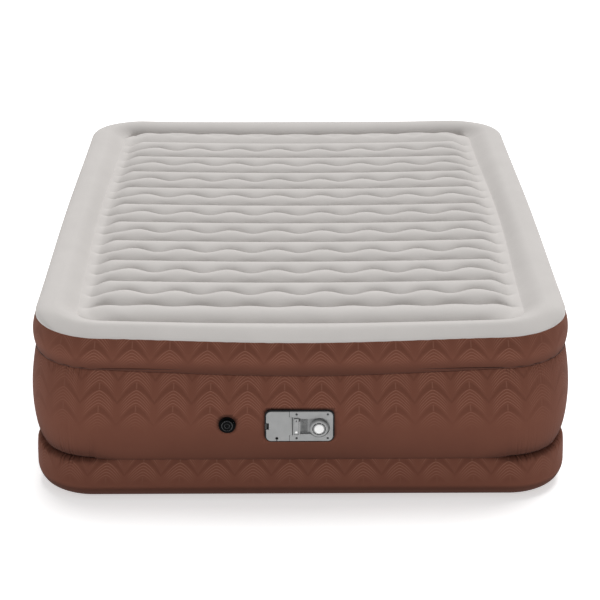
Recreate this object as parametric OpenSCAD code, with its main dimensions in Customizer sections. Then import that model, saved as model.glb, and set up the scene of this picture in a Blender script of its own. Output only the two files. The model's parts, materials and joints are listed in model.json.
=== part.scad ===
// Raised flocked air bed with a wave-beam top, a built-in electric pump and a manual valve.
// Millimetres. The origin is on the floor under the middle of the bed, +X is to the right,
// +Y points to the head end and +Z is up. The pump sits in the foot end, which faces -Y.

/* [Mattress] */
// Overall length, foot to head
mat_l = 2030; // [1880:10:2200]
// Overall width
mat_w = 1520; // [990:10:1830]
// Overall height, floor to the crest of the rim
mat_h = 510; // [460:5:560]
// Plan radius of the corners at the floor
corner_r = 180; // [170:5:200]
// How much larger the corners' radius is at the top
corner_more = 44; // [30:1:55]
// How far the corners of the head and foot ends are drawn in at the top
end_pull = 20; // [0:1:25]
// How far the corners of the long sides are drawn in at the top
side_pull = 6; // [0:1:15]

/* [Side bands] */
// Height of the seam between the lower and the middle band
lower_seam_z = 152; // [135:1:165]
// Depth of the seam between the middle and the upper band under the crest of the rim
upper_seam_drop = 112; // [100:1:130]
// Depth of the seam between the upper band and the pale top under the crest of the rim
top_seam_drop = 28; // [20:1:36]
// How far the lower seam lies inside the widest outline
lower_seam_in = 18; // [12:1:30]
// How far the upper seam lies inside the widest outline
upper_seam_in = 12; // [6:1:20]
// How far the top seam lies inside the widest outline
top_seam_in = 15; // [8:1:22]
// Swell of the middle band between its seams
middle_swell = 15; // [8:1:18]
// Swell of the upper band between its seams
upper_swell = 7; // [4:1:12]
// How far the fullest part of the lower band lies inside the widest outline
lower_full_in = 10; // [6:1:16]
// Radius by which the lower band rolls under to the floor
roll_r = 62; // [50:1:80]
// Thickness of the outer sheets
skin = 0.6; // [0.4:0.1:1.2]

/* [Top] */
// Width of the raised rim, from the widest outline to its inner seam
rim_w = 118; // [105:1:135]
// Depth of the seams of the sleeping surface under the crest of the rim
field_drop = 36; // [30:1:44]
// Distance between neighbouring seams
channel_pitch = 83; // [70:1:100]
// Least width of the first and the last channel
end_channel = 100; // [90:1:130]
// Height of a channel's crest over its seams
channel_crest = 19; // [10:1:24]
// Length of one wave of a wavy seam
wave_len = 142; // [110:1:180]
// How far a wavy seam swings to either side
wave_swing = 13; // [4:1:18]

/* [Inner sheets] */
// Thickness of the inner sheets and strips
web = 0.4; // [0.3:0.1:0.8]
// Distance from the end of a top strip to the rim's inner seam
strip_end = 18; // [10:1:40]
// Diameter of a vent hole
vent_d = 42; // [25:1:60]
// Distance between the vent holes
vent_pitch = 240; // [180:10:300]
// Width of the lower girth ring
girth_ring_w = 110; // [80:5:140]
// Distance between the tall strips of the base
base_pitch = 190; // [150:5:260]
// Distance from a base strip's end to the widest outline
base_end = 240; // [200:5:320]

/* [Pump panel] */
// Place of the panel across the foot end
pump_x = -5; // [-60:1:60]
// Height of the panel's middle
pump_z = 238.5; // [230:0.5:260]
// How far the panel's face stands out past the widest outline
panel_proud = 3; // [2:0.5:5]
// Width of the panel
panel_w = 182; // [174:1:200]
// Height of the panel
panel_h = 88; // [84:1:100]
// Corner radius of the panel
panel_r = 14; // [8:1:18]
// Thickness of the door and the cover
plate_t = 3; // [2.5:0.1:3.5]
// Width of the black collar that shows round the panel
collar_show = 4; // [2:0.5:8]
// Depth of the collar
collar_deep = 31; // [24:1:40]
// Clearance between pieces that stay still
seat_gap = 0.3; // [0.2:0.1:0.5]

/* [Pump housing] */
// How far the housing lies inside the panel's edge, on every side
housing_in = 4; // [3:0.5:6]
// Wall of the housing
housing_wall = 2.2; // [1.6:0.1:3]
// Inner depth of the motor chamber
motor_bay = 115; // [112:1:130]
// Inner depth of the cord compartment
cord_bay = 92; // [70:1:105]

/* [Cord door] */
// Width of the door, from the panel's edge
door_w = 64; // [58:1:70]
// Distance from the door's straight edge to its hinge pin
hinge_off = 4.4; // [4:0.1:6]
// Depth of the hinge pin behind the panel's face
hinge_deep = 2; // [1.8:0.1:2.2]
// Radius of the hinge pin
hinge_pin_r = 1.1; // [0.9:0.05:1.3]
// Radius of the door's hinge barrel
barrel_r = 2.6; // [2.4:0.1:2.8]
// Length of the door's hinge barrel
barrel_len = 54; // [40:1:60]
// Width of the finger notch
notch_w = 7.4; // [5:0.1:9]
// Height of the finger notch
notch_h = 19.6; // [14:0.2:24]
// Width of the catch that fills the outer part of the finger notch
catch_w = 6; // [5:0.1:7]
// Depth of the finger scoop behind the notch
scoop_deep = 5; // [4.5:0.1:8]
// Radius of the cord hole
cord_hole_r = 4.2; // [3:0.1:5]
// Place of the cord hole from the door's outer edge
cord_hole_x = 29; // [20:1:45]
// Height of the cord hole over the panel's lower edge
cord_hole_z = 7.5; // [6:0.5:10]
// Gap beside the door's straight edge
door_gap = 1.2; // [0.6:0.1:1.4]
// Running clearance of pins and shafts, radial
run_gap = 0.05; // [0.02:0.01:0.1]
// Clearance round the door and the rocker
move_gap = 0.4; // [0.3:0.05:0.6]

/* [Pump cover] */
// Screws' distance from the panel's right edge
screw_right = 14; // [11:0.5:16]
// Distance between the screws, across
screw_span = 85; // [80:0.5:90]
// Screws' distance from the panel's upper and lower edges
screw_edge = 8; // [7.5:0.5:9]
// Radius of a screw's head
screw_head_r = 3.2; // [2.6:0.1:3.4]
// Radius of a screw's shank
screw_r = 1.5; // [1.2:0.1:1.8]
// Length of a screw under its head
screw_len = 15; // [10:1:22]
// Depth of the finger recess
recess_deep = 7; // [5:0.5:8]
// Left end of the finger recess, from the door's straight edge
recess_x = 28.2; // [27:0.2:34]
// Height of the finger recess
recess_h = 47; // [36:1:50]

/* [Selector dial] */
// Dial's axis from the panel's right edge
dial_right = 38; // [36:1:42]
// Dial's axis under the panel's middle
dial_down = 4; // [0:0.5:5]
// Radius of the dial
dial_r = 24.5; // [20:0.5:26]
// Gap between the dial and its recess
dial_gap = 4.8; // [2:0.2:5.2]
// How far the dial stands out of the panel
dial_proud = 9; // [6:0.5:12]
// Radius of the dial's white cap
dial_cap_r = 13; // [10:0.5:14]
// Middle radius of the ring of dark inlays
inlay_r = 17; // [16:0.5:19]
// Width of the inlays
inlay_w = 2.8; // [2:0.1:3.2]
// Number of inlays
inlay_count = 8; // [6:1:12]
// Radius of the dial's shaft
dial_shaft_r = 5; // [4:0.5:6]
// Radius of the air drum
drum_r = 19; // [14:0.5:21]
// Length of the air drum
drum_len = 24; // [18:1:26]

/* [Power rocker] */
// Middle of the rocker from the door's straight edge
rocker_x = 18; // [17.8:0.1:18.2]
// Width of the rocker
rocker_w = 12.4; // [11:0.1:12.4]
// Height of the rocker
rocker_h = 48.4; // [38:0.2:50]
// How far the rocker leans at rest
rocker_lean = 6; // [4:0.5:8]
// Radius of the white dot on the rocker
dot_r = 3.6; // [2:0.1:4.4]
// Radius of the rocker's pin
rocker_pin_r = 1; // [0.8:0.1:1.3]
// Depth of the switch body
switch_deep = 21; // [17:1:24]

/* [Motor and fan] */
// Motor's axis from the panel's right edge
motor_right = 61; // [58:1:64]
// Radius of the motor can
motor_r = 21; // [18:0.5:23]
// Length of the motor can
motor_len = 34; // [30:1:38]
// Radius of the motor shaft
shaft_r = 2; // [1.5:0.1:2.5]
// Radius of a bearing
bearing_r = 5; // [4:0.5:6]
// Radius of the rotor core
rotor_r = 13.6; // [11:0.2:14]
// Radius of the fan wheel
fan_r = 29; // [24:0.5:31]
// Number of fan blades
fan_blades = 8; // [6:1:12]
// Radius of the air outlet
outlet_r = 14; // [12:0.5:15]
// Lift of the check valve
check_lift = 5; // [3:0.5:6]

/* [Manual valve] */
// Valve's distance to the left of the pump's middle
valve_left = 197.5; // [150:0.5:300]
// Height of the valve over the pump's middle
valve_up = 1.5; // [-15:0.5:15]
// How far the valve's hinge is turned up from level
valve_turn = 18; // [0:1:40]
// How far the flange's face lies inside the widest outline
valve_in = 1.5; // [0:0.5:3]
// Radius of the flange
flange_r = 23.5; // [22.5:0.5:27]
// Depth of the flange
flange_deep = 11; // [9:0.5:14]
// Radius of the valve's throat
throat_r = 10.5; // [8:0.5:11]
// Depth of the throat, mouth to flap seat
throat_deep = 16; // [14:1:20]
// Radius of the cap
cap_r = 18.5; // [17:0.5:19]
// Thickness of the cap
cap_t = 4; // [3:0.1:4.4]
// Depth of the cap's plug in the throat
plug_deep = 5; // [3:0.5:6]
// Distance from the valve's axis to the cap's hinge
cap_hinge_off = 20.6; // [20.2:0.1:21]
// Lift of the flap
flap_lift = 4; // [2:0.5:5]

/* [Hidden] */
$fn = 64;

// Colours of the parts
pale = "gainsboro";
brown = "#69443a";
sheet_grey = "silver";
panel_grey = "darkgray";
black = "#181818";
steel = "lightsteelblue";

// Clearance of parts that are pressed together, and how far a cut runs past a face
press_gap = 0.02;
past = 1;
// Overlap of two shapes that make one solid
lap = 0.5;

// Heights of the upper seams, measured down from the crest of the rim
upper_seam_z = mat_h - upper_seam_drop;
top_seam_z = mat_h - top_seam_drop;
field_z = mat_h - field_drop;

// Facets of the outline: steps round a corner, steps along a side
corner_steps = 6;
side_steps = 4;
// Facets of the side bands and of the rim, from seam to seam
band_steps = 6;
roll_steps = 4;
rim_steps = 8;
// Squareness of the rim's cross-section
rim_square = 1.9;

// Share of the pull at a height, and the outline's corner radius and corner centres there
function drawn(pull, z) = pull * z / mat_h;
function corner_at(z) = corner_r + corner_more * z / mat_h;
function corner_x(z) = mat_w / 2 - corner_at(z) - drawn(side_pull, z);
function corner_y(z) = mat_l / 2 - corner_at(z) - drawn(end_pull, z);

// One straight stretch of the outline: it swells by the pull in its middle, less so further in
function stretch(turn, far, half, pull, inset) = [
    for (i = [1 : side_steps - 1])
        let (s = 2 * i / side_steps - 1)
        let (out = far + pull * pow(cos(90 * s), 2) * max(0, 1 - inset / rim_w))
        [out * cos(turn) - s * half * sin(turn), out * sin(turn) + s * half * cos(turn)]
];

// The outline, inset from the widest one, at a height: four corner arcs and four stretches
function outline(inset, z) = [
    for (q = [0 : 3])
        let (cx = corner_x(z) * (q < 2 ? 1 : -1))
        let (cy = corner_y(z) * (q == 1 || q == 2 ? 1 : -1))
        let (r = corner_at(z) - inset)
        let (long_side = q % 2 == 0)
        let (far = (long_side ? corner_x(z) : corner_y(z)) + r)
        let (half = long_side ? corner_y(z) : corner_x(z))
        let (pull = drawn(long_side ? side_pull : end_pull, z))
        each concat(
            [for (i = [0 : corner_steps])
                let (a = 90 * (q - 1) + 90 * i / corner_steps)
                [cx + r * cos(a), cy + r * sin(a)]],
            stretch(90 * q, far, half, pull, inset))
];

// A closed sheet swept round the outline. The loop lists [inset, height] round its cross-section.
module swept_sheet(loop) {
    rings = [for (p = loop) [for (c = outline(p[0], p[1])) [c[0], c[1], p[1]]]];
    n = len(rings[0]);
    m = len(rings);
    faces = [for (k = [0 : m - 1], i = [0 : n - 1])
        let (a = k * n + i)
        let (b = k * n + (i + 1) % n)
        let (c = ((k + 1) % m) * n + (i + 1) % n)
        let (d = ((k + 1) % m) * n + i)
        each [[a, c, b], [a, d, c]]];
    polyhedron([for (ring = rings) each ring], faces);
}

// Cross-section of a band that swells between two seams
function band(z0, in0, z1, in1, swell) = [
    for (i = [0 : band_steps])
        let (u = i / band_steps)
        [in0 + (in1 - in0) * u - swell * sin(180 * u), z0 + (z1 - z0) * u]
];
function shifted(list, by) = [for (p = list) [p[0] + by, p[1]]];
function backward(list) = [for (i = [len(list) - 1 : -1 : 0]) list[i]];
function sheet_loop(list) = concat(list, backward(shifted(list, skin)));

// The lower band rolls under to the floor and narrows a little up to its seam
roll_in = lower_full_in + roll_r;
function roll(r) = [
    for (i = [0 : roll_steps])
        let (a = 90 * i / roll_steps)
        [roll_in - r * sin(a), roll_r - r * cos(a)]
];
function above_roll(by) = [
    for (i = [1 : 3])
        let (u = i / 3)
        [lower_full_in + by + (lower_seam_in - lower_full_in) * u * u,
            roll_r + (lower_seam_z - roll_r) * u]
];

// The rim's cross-section is a rounded arch from the top seam over to its inner seam
rim_mid = (top_seam_in + rim_w) / 2;
rim_half = (rim_w - top_seam_in) / 2;
function arch(by) = [
    for (i = [0 : rim_steps])
        let (a = 180 * i / rim_steps)
        let (across = pow(abs(cos(a)), 2 / rim_square) * sign(cos(a)))
        let (foot_z = cos(a) > 0 ? top_seam_z : field_z)
        let (up = i == 0 || i == rim_steps ? 0 : pow(sin(a), 2 / rim_square))
        [rim_mid - (rim_half - by) * across, foot_z + (mat_h - by - foot_z) * up]
];

// The sleeping surface: half sizes, corner radius and seams, numbered from the middle
field_r = corner_at(field_z) - rim_w;
field_hw = corner_x(field_z) + field_r;
field_hl = corner_y(field_z) + field_r;
round_room = 5;
last_seam = floor((field_hl - max(end_channel, field_r + round_room)) / channel_pitch);
function is_wavy(k) = k % 2 == 0;
function wave(x) = -wave_swing * cos(360 * x / wave_len);
function seam_y(k, x) = abs(k) > last_seam ? sign(k) * field_hl
    : k * channel_pitch + (is_wavy(k) ? wave(x) : 0);

// Columns of the sleeping surface lie on the crests and troughs of the waves
column_last = floor((field_hw - strip_end) / (wave_len / 2));
columns = 2 * column_last + 2;
function column_x(j, hw) = j == 0 ? -hw : j == columns ? hw
    : (j - 1 - column_last) * wave_len / 2 * hw / field_hw;

// Crest height in a channel that starts at seam k, at a share u of its width
function crest(k, u, x) =
    let (width = seam_y(k + 1, x) - seam_y(k, x))
    channel_crest * min(width / channel_pitch, 1.25) * sqrt(max(0, 1 - pow(2 * u - 1, 2)));
function field_point(k, u, j, hw) =
    let (x = column_x(j, hw))
    let (y = seam_y(k, x) * (1 - u) + seam_y(k + 1, x) * u)
    let (edge = j == 0 || j == columns || (abs(y) >= field_hl - 0.001))
    [x, y, field_z + (edge ? 0 : skin + crest(k, u, x))];
function field_row(k, u, hw) = [for (j = [0 : columns]) field_point(k, u, j, hw)];

// Rows that round the corners of the first and the last channel
round_steps = 3;
function end_u(i) = field_r * (1 - cos(90 * i / round_steps)) / (field_hl - last_seam * channel_pitch);
function end_hw(i) = field_hw - field_r + field_r * sin(90 * i / round_steps);
straight_u = (1 + end_u(round_steps)) / 2;
field_rows = concat(
    [for (i = [0 : round_steps]) field_row(-last_seam - 1, end_u(i), end_hw(i))],
    [field_row(-last_seam - 1, straight_u, field_hw)],
    [for (k = [-last_seam : last_seam - 1], u = [0, 1 / 3, 2 / 3]) field_row(k, u, field_hw)],
    [for (u = [0, 1 - straight_u]) field_row(last_seam, u, field_hw)],
    [for (i = [round_steps : -1 : 0]) field_row(last_seam, 1 - end_u(i), end_hw(i))]
);

// Panel frame: x to the right, y up, z out of the panel's face, from the middle of the panel
panel_y = -mat_l / 2 - panel_proud;
module at_panel() {
    translate([pump_x, panel_y, pump_z]) rotate([90, 0, 0]) children();
}
// A flat shape given thickness between two depths behind the face
module slab(from, to) {
    translate([0, 0, -to]) linear_extrude(to - from) children();
}
module rod(x, y, r, from, to) {
    translate([x, y, -to]) cylinder(r = r, h = to - from);
}
module tube(x, y, r_out, r_in, from, to) {
    difference() {
        rod(x, y, r_out, from, to);
        rod(x, y, r_in, from - 1, to + 1);
    }
}
module rounded(w, h, r) {
    square([w - 2 * r, h], center = true);
    square([w, h - 2 * r], center = true);
    for (sx = [-1, 1], sy = [-1, 1])
        translate([sx * (w / 2 - r), sy * (h / 2 - r)]) circle(r);
}
module box2(x0, x1, y0, y1) {
    translate([x0, y0]) square([x1 - x0, y1 - y0]);
}

// Places on the panel
right = panel_w / 2;
split_x = -right + door_w;
pin_x = split_x + hinge_off;
lug_right = split_x + 2 * hinge_off;
dial_x = right - dial_right;
dial_y = -dial_down;
motor_x = right - motor_right;
rock_x = split_x + rocker_x;
recess_left = split_x + recess_x;
recess_r = dial_r + dial_gap;
screw_xs = [right - screw_right - screw_span, right - screw_right];
screw_ys = [-panel_h / 2 + screw_edge, panel_h / 2 - screw_edge];

// Housing: outer half sizes, the partition beside the cord compartment, depths from the face
house_hw = right - housing_in;
house_hh = panel_h / 2 - housing_in;
house_r = max(2, panel_r - housing_in);
bay_hw = house_hw - housing_wall;
bay_hh = house_hh - housing_wall;
partition_w = 11;
wall_left = split_x - 1;
wall_right = wall_left + partition_w;
cord_back = plate_t + cord_bay;
bay_back = plate_t + motor_bay;
house_back = bay_back + housing_wall;
boss_wall = 2;
boss_floor = 2;
screw_boss_r = screw_r + boss_wall;
screw_end = plate_t / 2 + screw_len;
lug_len = 9;
lug_wall = 1.6;
lug_deep = hinge_deep + hinge_pin_r + lug_wall;
outlet_spoke = 3;

// Switch: pivot depth and the body's inner and outer sizes
pivot_deep = plate_t + 1;
window_w = rocker_w + 2 * move_gap;
tilt_room = 1.2;
window_h = rocker_h + 2 * move_gap + tilt_room;
switch_wall = 1.1;
switch_hw = window_w / 2 + switch_wall;
switch_hh = window_h / 2 + switch_wall;

// Motor and fan, as depths from the face
recess_floor = 2;
floor_back = recess_deep + recess_floor;
drum_gap = 5;
drum_from = floor_back + drum_gap;
drum_to = drum_from + drum_len;
motor_gap = 8;
motor_from = drum_to + motor_gap;
motor_to = motor_from + motor_len;
end_plate = 4;
can_wall = 1.5;
standoff = 8;
fan_wall = 2;
fan_len = 18;
wheel_gap = 1.5;
fan_from = motor_to + standoff;
fan_to = fan_from + fan_len;
wheel_from = fan_from + fan_wall + wheel_gap;
wheel_to = fan_to - fan_wall - wheel_gap;
hub_r = 5;
disc_t = 2;
seat_lap = 3;
stem_r = 2;
guide_r = 4.5;
clip_t = 1.5;
spring_len = 7;
clip_from = bay_back - spring_len - clip_t;

// Manual valve frame: as the panel's, from the middle of the flange's face, hinge along local y
valve_x = pump_x - valve_left;
valve_z = pump_z + valve_up;
valve_y = -mat_l / 2 + valve_in;
module at_valve() {
    translate([valve_x, valve_y, valve_z]) rotate([90, 0, 0]) rotate([0, 0, valve_turn]) children();
}
flange_wall = 7.5;
insert_r = flange_r - flange_wall;
rim_t = 1.5;
face_gap = 0.3;
cap_back = -rim_t - face_gap;
cap_front = cap_back - cap_t;
hinge_z = cap_back - cap_t / 2;
knuckle_r = 1.9;
cap_pin_r = 0.8;
knuckle_half = 2.6;
ear_t = 3;
spoke_t = 3;
throat_end = throat_deep - rim_t;
flap_from = throat_end + spoke_t;
flap_t = 1.2;
flap_r = throat_r + 2.2;
seat_r = throat_r - 1;
plug_gap = 1.2;
mouth_r = throat_r + 1;
mouth_end = cap_back + plug_deep + face_gap;
head_t = 1.5;
peg_r = 1.5;

// The pale top: channels between straight and wavy seams, flat underneath
module wave_panel() {
    rows = len(field_rows);
    n = columns + 1;
    middle = rows * n;
    rim_ids = concat(
        [for (j = [0 : columns - 1]) j],
        [for (i = [0 : rows - 2]) i * n + columns],
        [for (j = [columns : -1 : 1]) (rows - 1) * n + j],
        [for (i = [rows - 1 : -1 : 1]) i * n]);
    top_faces = [for (i = [0 : rows - 2], j = [0 : columns - 1])
        let (a = i * n + j)
        each [[a, a + n + 1, a + 1], [a, a + n, a + n + 1]]];
    under_faces = [for (i = [0 : len(rim_ids) - 1])
        [middle, rim_ids[i], rim_ids[(i + 1) % len(rim_ids)]]];
    color(pale)
        polyhedron(concat([for (row = field_rows) each row], [[0, 0, field_z]]),
            concat(top_faces, under_faces));
}

module rim_panel() {
    color(pale) swept_sheet(concat(arch(0), backward(arch(skin))));
}

module upper_wall() {
    color(brown) swept_sheet(sheet_loop(
        band(upper_seam_z + web, upper_seam_in, top_seam_z, top_seam_in, upper_swell)));
}

// The middle band is made of two strips that meet just inside the foot end's corners
wall_cut = 60;
strip_joint_in = 6;
module middle_band() {
    swept_sheet(sheet_loop(
        band(lower_seam_z + web, lower_seam_in, upper_seam_z, upper_seam_in, middle_swell)));
}
module foot_part(grow) {
    half = corner_x(mat_h) - strip_joint_in + grow;
    translate([-half, -mat_l, 0]) cube([2 * half, 3 * mat_l / 4, mat_h]);
}
module middle_wall() {
    color(brown) difference() {
        middle_band();
        foot_part(seat_gap);
    }
}
// The foot strip is welded to the pump's collar and to the valve's flange, round their openings
module foot_wall() {
    color(brown) difference() {
        intersection() {
            middle_band();
            foot_part(0);
        }
        at_panel() slab(-wall_cut, wall_cut) collar_outline(collar_show + seat_gap);
        at_valve() rod(0, 0, flange_r + seat_gap, -wall_cut, wall_cut);
    }
}

module lower_wall() {
    color(brown) swept_sheet(concat(
        roll(roll_r), above_roll(0), backward(above_roll(skin)), backward(roll(roll_r - skin))));
}

module bottom_panel() {
    color(sheet_grey) linear_extrude(skin) polygon(outline(roll_in + seat_gap, 0));
}

// Inner sheet at the upper seam, with a grid of vent holes between the top strips
module upper_girth_sheet() {
    row_pitch = 3 * channel_pitch;
    nx = floor((field_hw - vent_d) / vent_pitch);
    ny = floor((field_hl - vent_d) / row_pitch);
    color(sheet_grey) translate([0, 0, upper_seam_z]) difference() {
        linear_extrude(web) polygon(outline(upper_seam_in, upper_seam_z));
        for (i = [-nx : nx], j = [-ny : ny])
            translate([i * vent_pitch, j * row_pitch + channel_pitch / 2, -1])
                cylinder(d = vent_d, h = web + 2);
    }
}

module lower_girth_sheet() {
    color(sheet_grey) translate([0, 0, lower_seam_z]) linear_extrude(web) difference() {
        polygon(outline(lower_seam_in, lower_seam_z));
        polygon(outline(lower_seam_in + girth_ring_w, lower_seam_z));
    }
}

// Strips between the upper girth sheet and the seams of the top
strip_z = upper_seam_z + web;
strip_hw = field_hw - strip_end;
module straight_beams() {
    color(sheet_grey) for (k = [-last_seam : last_seam])
        if (!is_wavy(k))
            translate([-strip_hw, k * channel_pitch - web / 2, strip_z])
                cube([2 * strip_hw, web, field_z - strip_z]);
}
module wave_beams() {
    steps = 6 * ceil(2 * strip_hw / wave_len);
    xs = [for (i = [0 : steps]) strip_hw * (2 * i / steps - 1)];
    color(sheet_grey) for (k = [-last_seam : last_seam])
        if (is_wavy(k))
            translate([0, 0, strip_z]) linear_extrude(field_z - strip_z) polygon(concat(
                [for (x = xs) [x, seam_y(k, x) - web / 2]],
                [for (x = backward(xs)) [x, seam_y(k, x) + web / 2]]));
}

// Tall strips along the base, with vent holes halfway up
module base_beams() {
    half = mat_l / 2 - base_end;
    n = floor((mat_w / 2 - base_end) / base_pitch);
    vents = floor(half / vent_pitch);
    color(sheet_grey) for (i = [-n : n])
        translate([i * base_pitch - web / 2, 0, 0]) difference() {
            translate([0, -half, skin]) cube([web, 2 * half, upper_seam_z - skin]);
            for (j = [-vents : vents])
                translate([-1, j * vent_pitch, upper_seam_z / 2])
                    rotate([0, 90, 0]) cylinder(d = vent_d, h = web + 2);
        }
}

module collar_outline(show) {
    rounded(panel_w + 2 * show, panel_h + 2 * show, panel_r + show);
}
module pump_collar() {
    color(black) at_panel() difference() {
        slab(plate_t, plate_t + collar_deep) difference() {
            collar_outline(collar_show);
            rounded(2 * house_hw, 2 * house_hh, house_r);
        }
        finger_scoop();
    }
}
// Room for a fingertip behind the notch, beside the catch
catch_left = -right - 3.5;
catch_right = catch_left + catch_w;
catch_t = 2.2;
module finger_scoop() {
    slab(plate_t - past, plate_t + scoop_deep)
        box2(catch_right, -right + notch_w, -notch_h / 2, notch_h / 2);
}
// Catch that the door snaps behind, seated on the collar's face
module door_catch() {
    gap = 1;
    color("dimgray") at_panel() slab(plate_t - catch_t, plate_t)
        box2(catch_left, catch_right, -notch_h / 2 + gap, notch_h / 2 - gap);
}

// One moulded box: the cord compartment on the left, the motor chamber on the right
module pump_housing() {
    color(panel_grey) at_panel() difference() {
        union() {
            slab(plate_t, cord_back + housing_wall) rounded(2 * house_hw, 2 * house_hh, house_r);
            slab(plate_t, house_back) intersection() {
                rounded(2 * house_hw, 2 * house_hh, house_r);
                box2(wall_right - housing_wall, house_hw, -house_hh, house_hh);
            }
        }
        slab(plate_t - past, cord_back) box2(-bay_hw, wall_left, -bay_hh, bay_hh);
        slab(plate_t - past, bay_back) difference() {
            box2(wall_right, bay_hw, -bay_hh, bay_hh);
            for (x = screw_xs, y = screw_ys)
                translate([x, y]) circle(screw_boss_r);
        }
        slab(screw_end + boss_floor, bay_back) box2(wall_right, bay_hw, -bay_hh, bay_hh);
        for (x = screw_xs, y = screw_ys)
            rod(x, y, screw_r + press_gap, plate_t - past, screw_end);
        hinge_room();
        finger_scoop();
        cord_groove();
        gland_hole();
        difference() {
            rod(motor_x, 0, outlet_r, bay_back - past, house_back + past);
            rod(motor_x, 0, guide_r, bay_back - 2 * past, house_back + 2 * past);
            for (a = [0, 120, 240])
                translate([motor_x, 0, -house_back - past]) rotate([0, 0, a])
                    translate([0, -outlet_spoke / 2, 0])
                        cube([outlet_r + past, outlet_spoke, housing_wall + 3 * past]);
        }
        rod(motor_x, 0, stem_r + run_gap, bay_back - past, house_back + past);
    }
}
// The cover's two lugs hold the hinge pin above and below the barrel
lug_mid = barrel_len / 2 + move_gap + lug_len / 2;
module lugs(grow) {
    for (s = [-1, 1])
        translate([pin_x, s * lug_mid])
            square([2 * (hinge_off + grow), lug_len + 2 * grow], center = true);
}
// Room in the housing's front for the hinge barrel and the lugs
module hinge_room() {
    translate([pin_x, -lug_mid, -hinge_deep]) rotate([-90, 0, 0])
        cylinder(r = barrel_r + move_gap, h = 2 * lug_mid);
    slab(plate_t - past, lug_deep + seat_gap) lugs(seat_gap);
}
// Groove in the housing's lower edge that leads the cord to the door's hole
cord_x = -right + cord_hole_x;
cord_y = -panel_h / 2 + cord_hole_z;
groove_deep = 8;
module cord_groove() {
    slab(plate_t - past, plate_t + groove_deep)
        box2(cord_x - cord_hole_r, cord_x + cord_hole_r, -house_hh - past, cord_y);
}
// Soft sleeve in the partition, where the cord leaves the motor chamber
gland_r = 5;
gland_y = -20;
gland_deep = 67;
module at_gland() {
    translate([wall_left, gland_y, -gland_deep]) rotate([0, 90, 0]) children();
}
module gland_hole() {
    at_gland() translate([0, 0, -past]) cylinder(r = gland_r, h = partition_w + 2 * past);
}
module cord_gland() {
    cord_r = 2.7;
    lip_r = gland_r + 2;
    lip_t = 2;
    color(black) at_panel() at_gland() difference() {
        union() {
            cylinder(r = gland_r, h = partition_w);
            translate([0, 0, -lip_t]) cylinder(r = lip_r, h = lip_t);
        }
        translate([0, 0, -lip_t - past]) cylinder(r = cord_r, h = partition_w + lip_t + 2 * past);
    }
}

// The finger recess: a slot that runs into the round well of the dial
module recess_shape(grow) {
    translate([dial_x, dial_y]) circle(recess_r + grow);
    box2(recess_left - grow, dial_x, -recess_h / 2 - grow, recess_h / 2 + grow);
}
screen_edge = 2;
screen_w = 20;
screen_h = recess_h - 3 * screen_edge;
screen_x = recess_left + screen_edge + screen_w / 2;
module pump_cover() {
    color(panel_grey) at_panel() difference() {
        union() {
            slab(0, plate_t) difference() {
                intersection() {
                    rounded(panel_w, panel_h, panel_r);
                    box2(split_x, right, -panel_h / 2, panel_h / 2);
                }
                box2(split_x - past, lug_right, -barrel_len / 2 - move_gap, barrel_len / 2 + move_gap);
            }
            slab(plate_t - lap, floor_back) recess_shape(recess_floor);
            slab(0, lug_deep) lugs(0);
        }
        slab(-past, recess_deep) recess_shape(0);
        slab(-past, plate_t + past)
            translate([rock_x, 0]) square([window_w, window_h], center = true);
        rod(dial_x, dial_y, dial_shaft_r + run_gap, recess_deep - past, floor_back + past);
        slab(recess_deep - past, floor_back + past)
            translate([screen_x, 0]) square([screen_w, screen_h], center = true);
        for (x = screw_xs, y = screw_ys) {
            rod(x, y, screw_r + run_gap, -past, plate_t + past);
            rod(x, y, screw_head_r + seat_gap, -past, plate_t / 2);
        }
        translate([pin_x, -lug_mid - lug_len / 2 - past, -hinge_deep]) rotate([-90, 0, 0])
            cylinder(r = hinge_pin_r + press_gap, h = 2 * lug_mid + lug_len / 2 + past);
    }
}

module cover_screws() {
    head_sunk = 0.2;
    slot = [4, 0.8, 0.7];
    color(steel) at_panel() for (x = screw_xs, y = screw_ys) difference() {
        union() {
            rod(x, y, screw_head_r, head_sunk, plate_t / 2);
            rod(x, y, screw_r, plate_t / 2 - lap, screw_end);
        }
        for (a = [0, 90])
            translate([x, y, -head_sunk - slot[2]]) rotate([0, 0, a])
                translate([-slot[0] / 2, -slot[1] / 2, 0]) cube([slot[0], slot[1], 2 * slot[2]]);
    }
}

// Lid of the cord compartment, with a finger notch, a cord hole and a hinge barrel
module cord_door() {
    back = plate_t - 0.2;
    slit = 2.4;
    tab_lap = 2;
    color(panel_grey) at_panel() difference() {
        union() {
            slab(0, back) difference() {
                intersection() {
                    rounded(panel_w, panel_h, panel_r);
                    box2(-right, split_x - door_gap, -panel_h / 2, panel_h / 2);
                }
                box2(-right - past, -right + notch_w, -notch_h / 2, notch_h / 2);
                translate([cord_x, cord_y]) circle(cord_hole_r);
                box2(cord_x - slit / 2, cord_x + slit / 2, -panel_h / 2 - past, cord_y);
            }
            slab(0, back) box2(split_x - tab_lap, pin_x, -barrel_len / 2, barrel_len / 2);
            translate([pin_x, -barrel_len / 2, -hinge_deep]) rotate([-90, 0, 0])
                cylinder(r = barrel_r, h = barrel_len);
        }
        translate([pin_x, -barrel_len / 2 - past, -hinge_deep]) rotate([-90, 0, 0])
            cylinder(r = hinge_pin_r + run_gap, h = barrel_len + 2 * past);
    }
}
module door_hinge_pin() {
    color(steel) at_panel() translate([pin_x, -lug_mid, -hinge_deep]) rotate([-90, 0, 0])
        cylinder(r = hinge_pin_r, h = 2 * lug_mid);
}

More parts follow.
